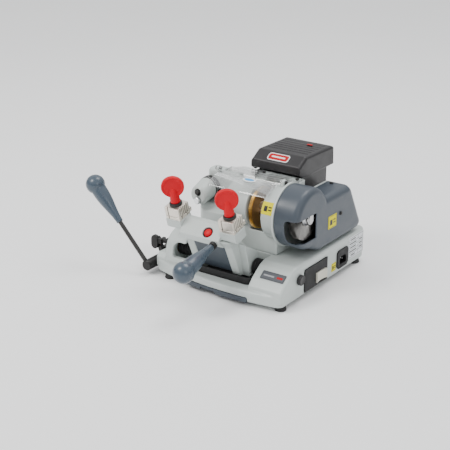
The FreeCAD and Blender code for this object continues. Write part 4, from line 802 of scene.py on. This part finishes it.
def wrapped(name, like, material, along, angle, outline, radius, thick, replaces=()):
    """A thin film bent round the spindle's axis. Its middle is along in X and angle up from the front."""
    bm = bmesh.new()
    rings = []
    for share in (1.0, 0.8, 0.6, 0.4, 0.2):
        ring = []
        for across, up in outline:
            turn = math.radians(angle) + up * share / radius
            ring.append(bm.verts.new((along + across * share, SPINDLE.y - radius * math.cos(turn),
                                      SPINDLE.z + radius * math.sin(turn))))
        rings.append(ring)
    for outer, inner in zip(rings, rings[1:]):
        for i in range(len(outer)):
            j = (i + 1) % len(outer)
            bm.faces.new((outer[i], outer[j], inner[j], inner[i]))
    bm.faces.new(rings[-1])
    bmesh.ops.recalc_face_normals(bm, faces=bm.faces)
    film = piece(name, bm, like, material, replaces=replaces)
    solid = film.modifiers.new("thick", "SOLIDIFY")
    solid.thickness = thick
    solid.offset = 1
    return film


def split_outline(width, height, radius, steps=6, cuts=6):
    """A rounded box whose straight sides are cut up, so that it can bend."""
    corners = rounded_box(width, height, radius, steps)
    points = []
    for (x0, y0), (x1, y1) in zip(corners, corners[1:] + corners[:1]):
        count = cuts if math.hypot(x1 - x0, y1 - y0) > 0.2 * min(width, height) else 1
        points += [(x0 + (x1 - x0) * i / count, y0 + (y1 - y0) * i / count) for i in range(count)]
    return points


def label_print(size):
    """Plain marks inside a frame: a dark block and two bars."""
    wide, high = size
    dark_block = (-wide * 0.16, -high * 0.04, wide * 0.3, high * 0.42)
    bars = [(wide * 0.22, high * up, wide * 0.28, high * 0.1) for up in (0.1, -0.12)]
    return frame_bars(wide - 3, high - 3, 0.6) + [dark_block] + bars


def rating_plate():
    low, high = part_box("rating_plate")
    centre = Vector((low.x, (low.y + high.y) / 2, (low.z + high.z) / 2))
    size = (high.y - low.y, high.z - low.z)
    plate_set("rating_plate_film", "rating_plate", centre, X, Z, size, 0.5 * MM, 1 * MM,
              replaces=("rating_plate",))
    bars = frame_bars(54, 40, 0.8)
    bars += [(0, y, 52, 0.7) for y in (12, 4, -4, -12)] + [(8, 0, 0.7, 39)]
    bars += [(-12, y, w, 2.4) for y, w in ((16, 20), (8, 26), (0, 22), (-8, 27), (-16, 16))]
    bars += [(18, y, 12, 2.4) for y in (8, 0, -8)]
    ink_bars("rating_plate_rules", "rating_plate", centre, X, Z, bars, 0.5 * MM)


def flat_labels():
    for number, (name, spot, size) in enumerate((("base", drawn(150, 35.5, 27), (16, 17)),
                                                 ("cover", drawn(150, 24.5, 124), (30, 25)))):
        plate_set("yellow_label_" + name, "yellow_labels", spot, X, Z, (size[0] * MM, size[1] * MM),
                  0.5 * MM, 1.2 * MM, replaces=("yellow_labels",) if number == 0 else ())
        ink_bars("yellow_label_print_" + name, "yellow_labels", spot, X, Z, label_print(size), 0.5 * MM)


def drum_label():
    """The yellow label that is bent over the cutter cover."""
    along = drawn(80, 0, 0).x
    facing = 24
    size = (23.5, 24)
    ink_radius = 50.45 * MM
    outline = split_outline(size[0] * MM, size[1] * MM, 1.2 * MM)
    wrapped("yellow_label_drum", "yellow_labels", None, along, facing, outline, 50.1 * MM, 0.3 * MM)
    for number, (x, y, wide, high) in enumerate(label_print(size)[4:]):
        outline = split_outline(wide * MM, high * MM, 0.2 * MM, 2)
        turn = facing + math.degrees(y * MM / ink_radius)
        wrapped("yellow_label_drum_print_%d" % number, "yellow_labels", "label_ink", along + x * MM,
                turn, outline, ink_radius, 0.1 * MM)


def name_plate():
    low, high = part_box("name_plate")
    up = Vector((0, high.y - low.y, high.z - low.z)).normalized()
    out = X.cross(up)
    centre = (low + high) / 2
    plate_set("name_plate_film", "name_plate", centre - out * 0.4 * MM, out, up, (50 * MM, 17.5 * MM),
              0.8 * MM, 2 * MM, replaces=("name_plate",))
    ink_bars("name_plate_border", "name_plate", centre, out, up, frame_bars(47.5, 15, 0.5), 0.4 * MM)
    ink_bars("name_plate_stripe", "name_plate", centre, out, up, [(-9, 0, 22, 3.2)], 0.4 * MM, "grey_ink")
    ink_bars("name_plate_accent", "name_plate", centre, out, up, [(14, 0, 12, 4)], 0.4 * MM, "label_red")


def power_rocker():
    """The rocker, hollowed across its face, and the grey insert beside it."""
    low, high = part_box("power_rocker")
    centre = (low + high) / 2
    wide, tall = high.y - low.y, high.z - low.z
    deep = high.x - low.x
    hollow = 3.4 * MM
    outline = [(-wide / 2, 0), (wide / 2, 0), (wide / 2, deep)]
    outline += [(wide / 2 - wide * i / 10, deep - hollow * math.sin(math.pi * i / 10) ** 0.8)
                for i in range(1, 10)]
    outline += [(-wide / 2, deep)]
    rocker = moved(prism(outline, tall), Matrix.Translation((0, 0, -tall / 2)))
    turn = Matrix((Y, X, -Z)).transposed().to_4x4()
    turn = Matrix.Translation((low.x, centre.y, centre.z)) @ turn
    rocker = piece("rocker_cap", rocker, "power_rocker", matrix=turn, replaces=("power_rocker",))
    bevelled(rocker, 0.8 * MM, 3)
    plate_set("switch_insert", "switch_housing", drawn(149.2, 4, 48), X, Z, (8 * MM, 14 * MM), 0.8 * MM,
              1.2 * MM, "grey_ink")


def side_knob():
    """The small fluted knob on the right side, on its stud."""
    low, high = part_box("side_knob")
    centre = (low + high) / 2
    radius = (high.z - low.z) / 2
    start = Vector((SIDE_X + 0.4 * MM, centre.y, centre.z))
    proud = high.x - start.x

    def flutes(turn, at_radius):
        return 1 - (0.07 * max(0, math.cos(12 * turn)) ** 3 if at_radius > radius * 0.8 else 0)

    stud_end, stud_radius = -12 * MM, 3.9 * MM
    dish = proud - 0.6 * MM
    profile = [(stud_end, 0), (stud_end, stud_radius), (0, stud_radius), (0, radius * 0.9),
               (0.8 * MM, radius), (proud - 1.6 * MM, radius), (proud - 0.5 * MM, radius * 0.93),
               (proud, radius * 0.8), (dish, radius * 0.62), (dish, 0)]
    piece("side_knob_fluted", lathe(profile, 144, flutes), "side_knob", matrix=at(start, X),
          replaces=("side_knob",))


def inlet_pins():
    low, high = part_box("mains_inlet")
    y = (low.y + high.y) / 2
    x = SIDE_X - 9.1 * MM
    size = (12.6 * MM, 2.1 * MM, 4.1 * MM)
    parts = [block(size, (x, y + across * MM, low.z + up * MM))
             for across, up in ((-7, 14), (7, 14), (0, 18.5))]
    bevelled(piece("inlet_pins", joined(parts), "mains_inlet", "bright_steel"), 0.4 * MM, 2)


def hood_badge():
    """A plain badge on the hood's front slope, and a small red tab at the rear of its ribs."""
    low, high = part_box("motor_cover")
    nose = Vector((0, low.y, high.z - 15 * MM))
    top = Vector((0, low.y + 25 * MM, high.z))
    up = (top - nose).normalized()
    out = X.cross(up)
    centre = (nose + top) / 2 + X * (low.x + high.x) / 2
    plate_set("hood_badge_rim", "motor_cover", centre - out * 0.3 * MM, out, up, (46 * MM, 18 * MM), 1.1 * MM,
              5 * MM, "label_white")
    plate_set("hood_badge_field", "motor_cover", centre + out * 0.6 * MM, out, up, (42.5 * MM, 14.5 * MM),
              0.45 * MM, 4 * MM, "label_red")
    plate_set("hood_badge_bar", "motor_cover", centre + out * 0.9 * MM, out, up, (30 * MM, 3.5 * MM),
              0.35 * MM, 1.6 * MM, "label_white")
    tab = Vector((low.x + 72 * MM, low.y + 97 * MM, high.z - 0.2 * MM))
    plate_set("hood_tab", "motor_cover", tab, Z, Y, (12 * MM, 5 * MM), 0.7 * MM, 1.5 * MM, "label_red")


def shield_sticker():
    """A plain oval sticker bent over the shield."""
    radius = 55.65 * MM
    along = drawn(18, 0, 0).x
    turns = [math.radians(9 * i) for i in range(40)]
    for name, wide, high, lift, material in (("rim", 28, 13, 0, "label_white"),
                                             ("field", 22, 8, 0.12, "label_blue")):
        outline = [(wide / 2 * MM * math.cos(t), high / 2 * MM * math.sin(t)) for t in turns]
        wrapped("shield_sticker_" + name, "safety_shield", material, along, 76, outline, radius + lift * MM,
                0.1 * MM)


# ---- studio -------------------------------------------------------------------------------------

def soft_light(name, spot, target, size, power, tint=(1, 1, 1)):
    data = bpy.data.lights.new(name, "AREA")
    data.size = size
    data.energy = power
    data.color = tint
    lamp = bpy.data.objects.new(name, data)
    lamp.location = spot
    lamp.rotation_euler = (Vector(target) - Vector(spot)).to_track_quat("-Z", "Y").to_euler()
    bpy.context.scene.collection.objects.link(lamp)


def studio():
    bm = bmesh.new()
    bmesh.ops.create_grid(bm, x_segments=1, y_segments=1, size=12)
    mesh = bpy.data.meshes.new("floor")
    bm.to_mesh(mesh)
    bm.free()
    floor = bpy.data.objects.new("floor", mesh)
    bpy.context.scene.collection.objects.link(floor)
    white = surface("floor", (0.93, 0.93, 0.93, 1), 0.7, mottle=0.004, mottle_scale=2, grain=0)
    mesh.materials.append(white)
    world = bpy.data.worlds.new("studio")
    bpy.context.scene.world = world
    world.use_nodes = True
    tree = world.node_tree
    height = node(tree, "SeparateXYZ", Vector=node(tree, "TexCoord").outputs["Generated"]).outputs["Z"]
    background = tree.nodes["Background"]
    background.inputs["Color"].default_value = (0.98, 0.99, 1, 1)
    tree.links.new(ramp(tree, height, -0.05, 0.6, 0.32, 1.22), background.inputs["Strength"])
    soft_light("key", (-0.9, -1.6, 2.2), (0, 0, 0.1), 0.9, 39, (1, 0.99, 0.97))
    soft_light("fill", (2.2, -1.2, 1.2), (0, 0, 0.1), 1.2, 7)
    soft_light("top", (0.3, 0.9, 2.4), (0, 0, 0.1), 1.2, 26)


def camera():
    """The camera stands in front and to the right, above the machine."""
    data = bpy.data.cameras.new("camera")
    data.lens = 88
    data.sensor_width = 36
    cam = bpy.data.objects.new("camera", data)
    azimuth, elevation = math.radians(35.2), math.radians(21.2)
    back = Vector((math.sin(azimuth) * math.cos(elevation), -math.cos(azimuth) * math.cos(elevation),
                   math.sin(elevation)))
    cam.location = drawn(1092.7, -1660, 861.1)
    cam.rotation_mode = "QUATERNION"
    cam.rotation_quaternion = (-back).to_track_quat("-Z", "Y")
    data.clip_start, data.clip_end = 0.1, 60
    bpy.context.scene.collection.objects.link(cam)
    bpy.context.scene.camera = cam


def main():
    camera()
    studio()
    dress_cad_nodes()
    side_lever()
    front_lever()
    clamp("left")
    clamp("right")
    bellows("bellows_left", 10, True)
    bellows("bellows_right", 4, False)
    wire_brush()
    cutter()
    hinge_hardware()
    top_screws()
    tracer_ring()
    tracer_lock()
    tracer_finger()
    release_button()
    carriage_screws()
    rating_plate()
    flat_labels()
    drum_label()
    name_plate()
    power_rocker()
    side_knob()
    inlet_pins()
    hood_badge()
    shield_sticker()


main()
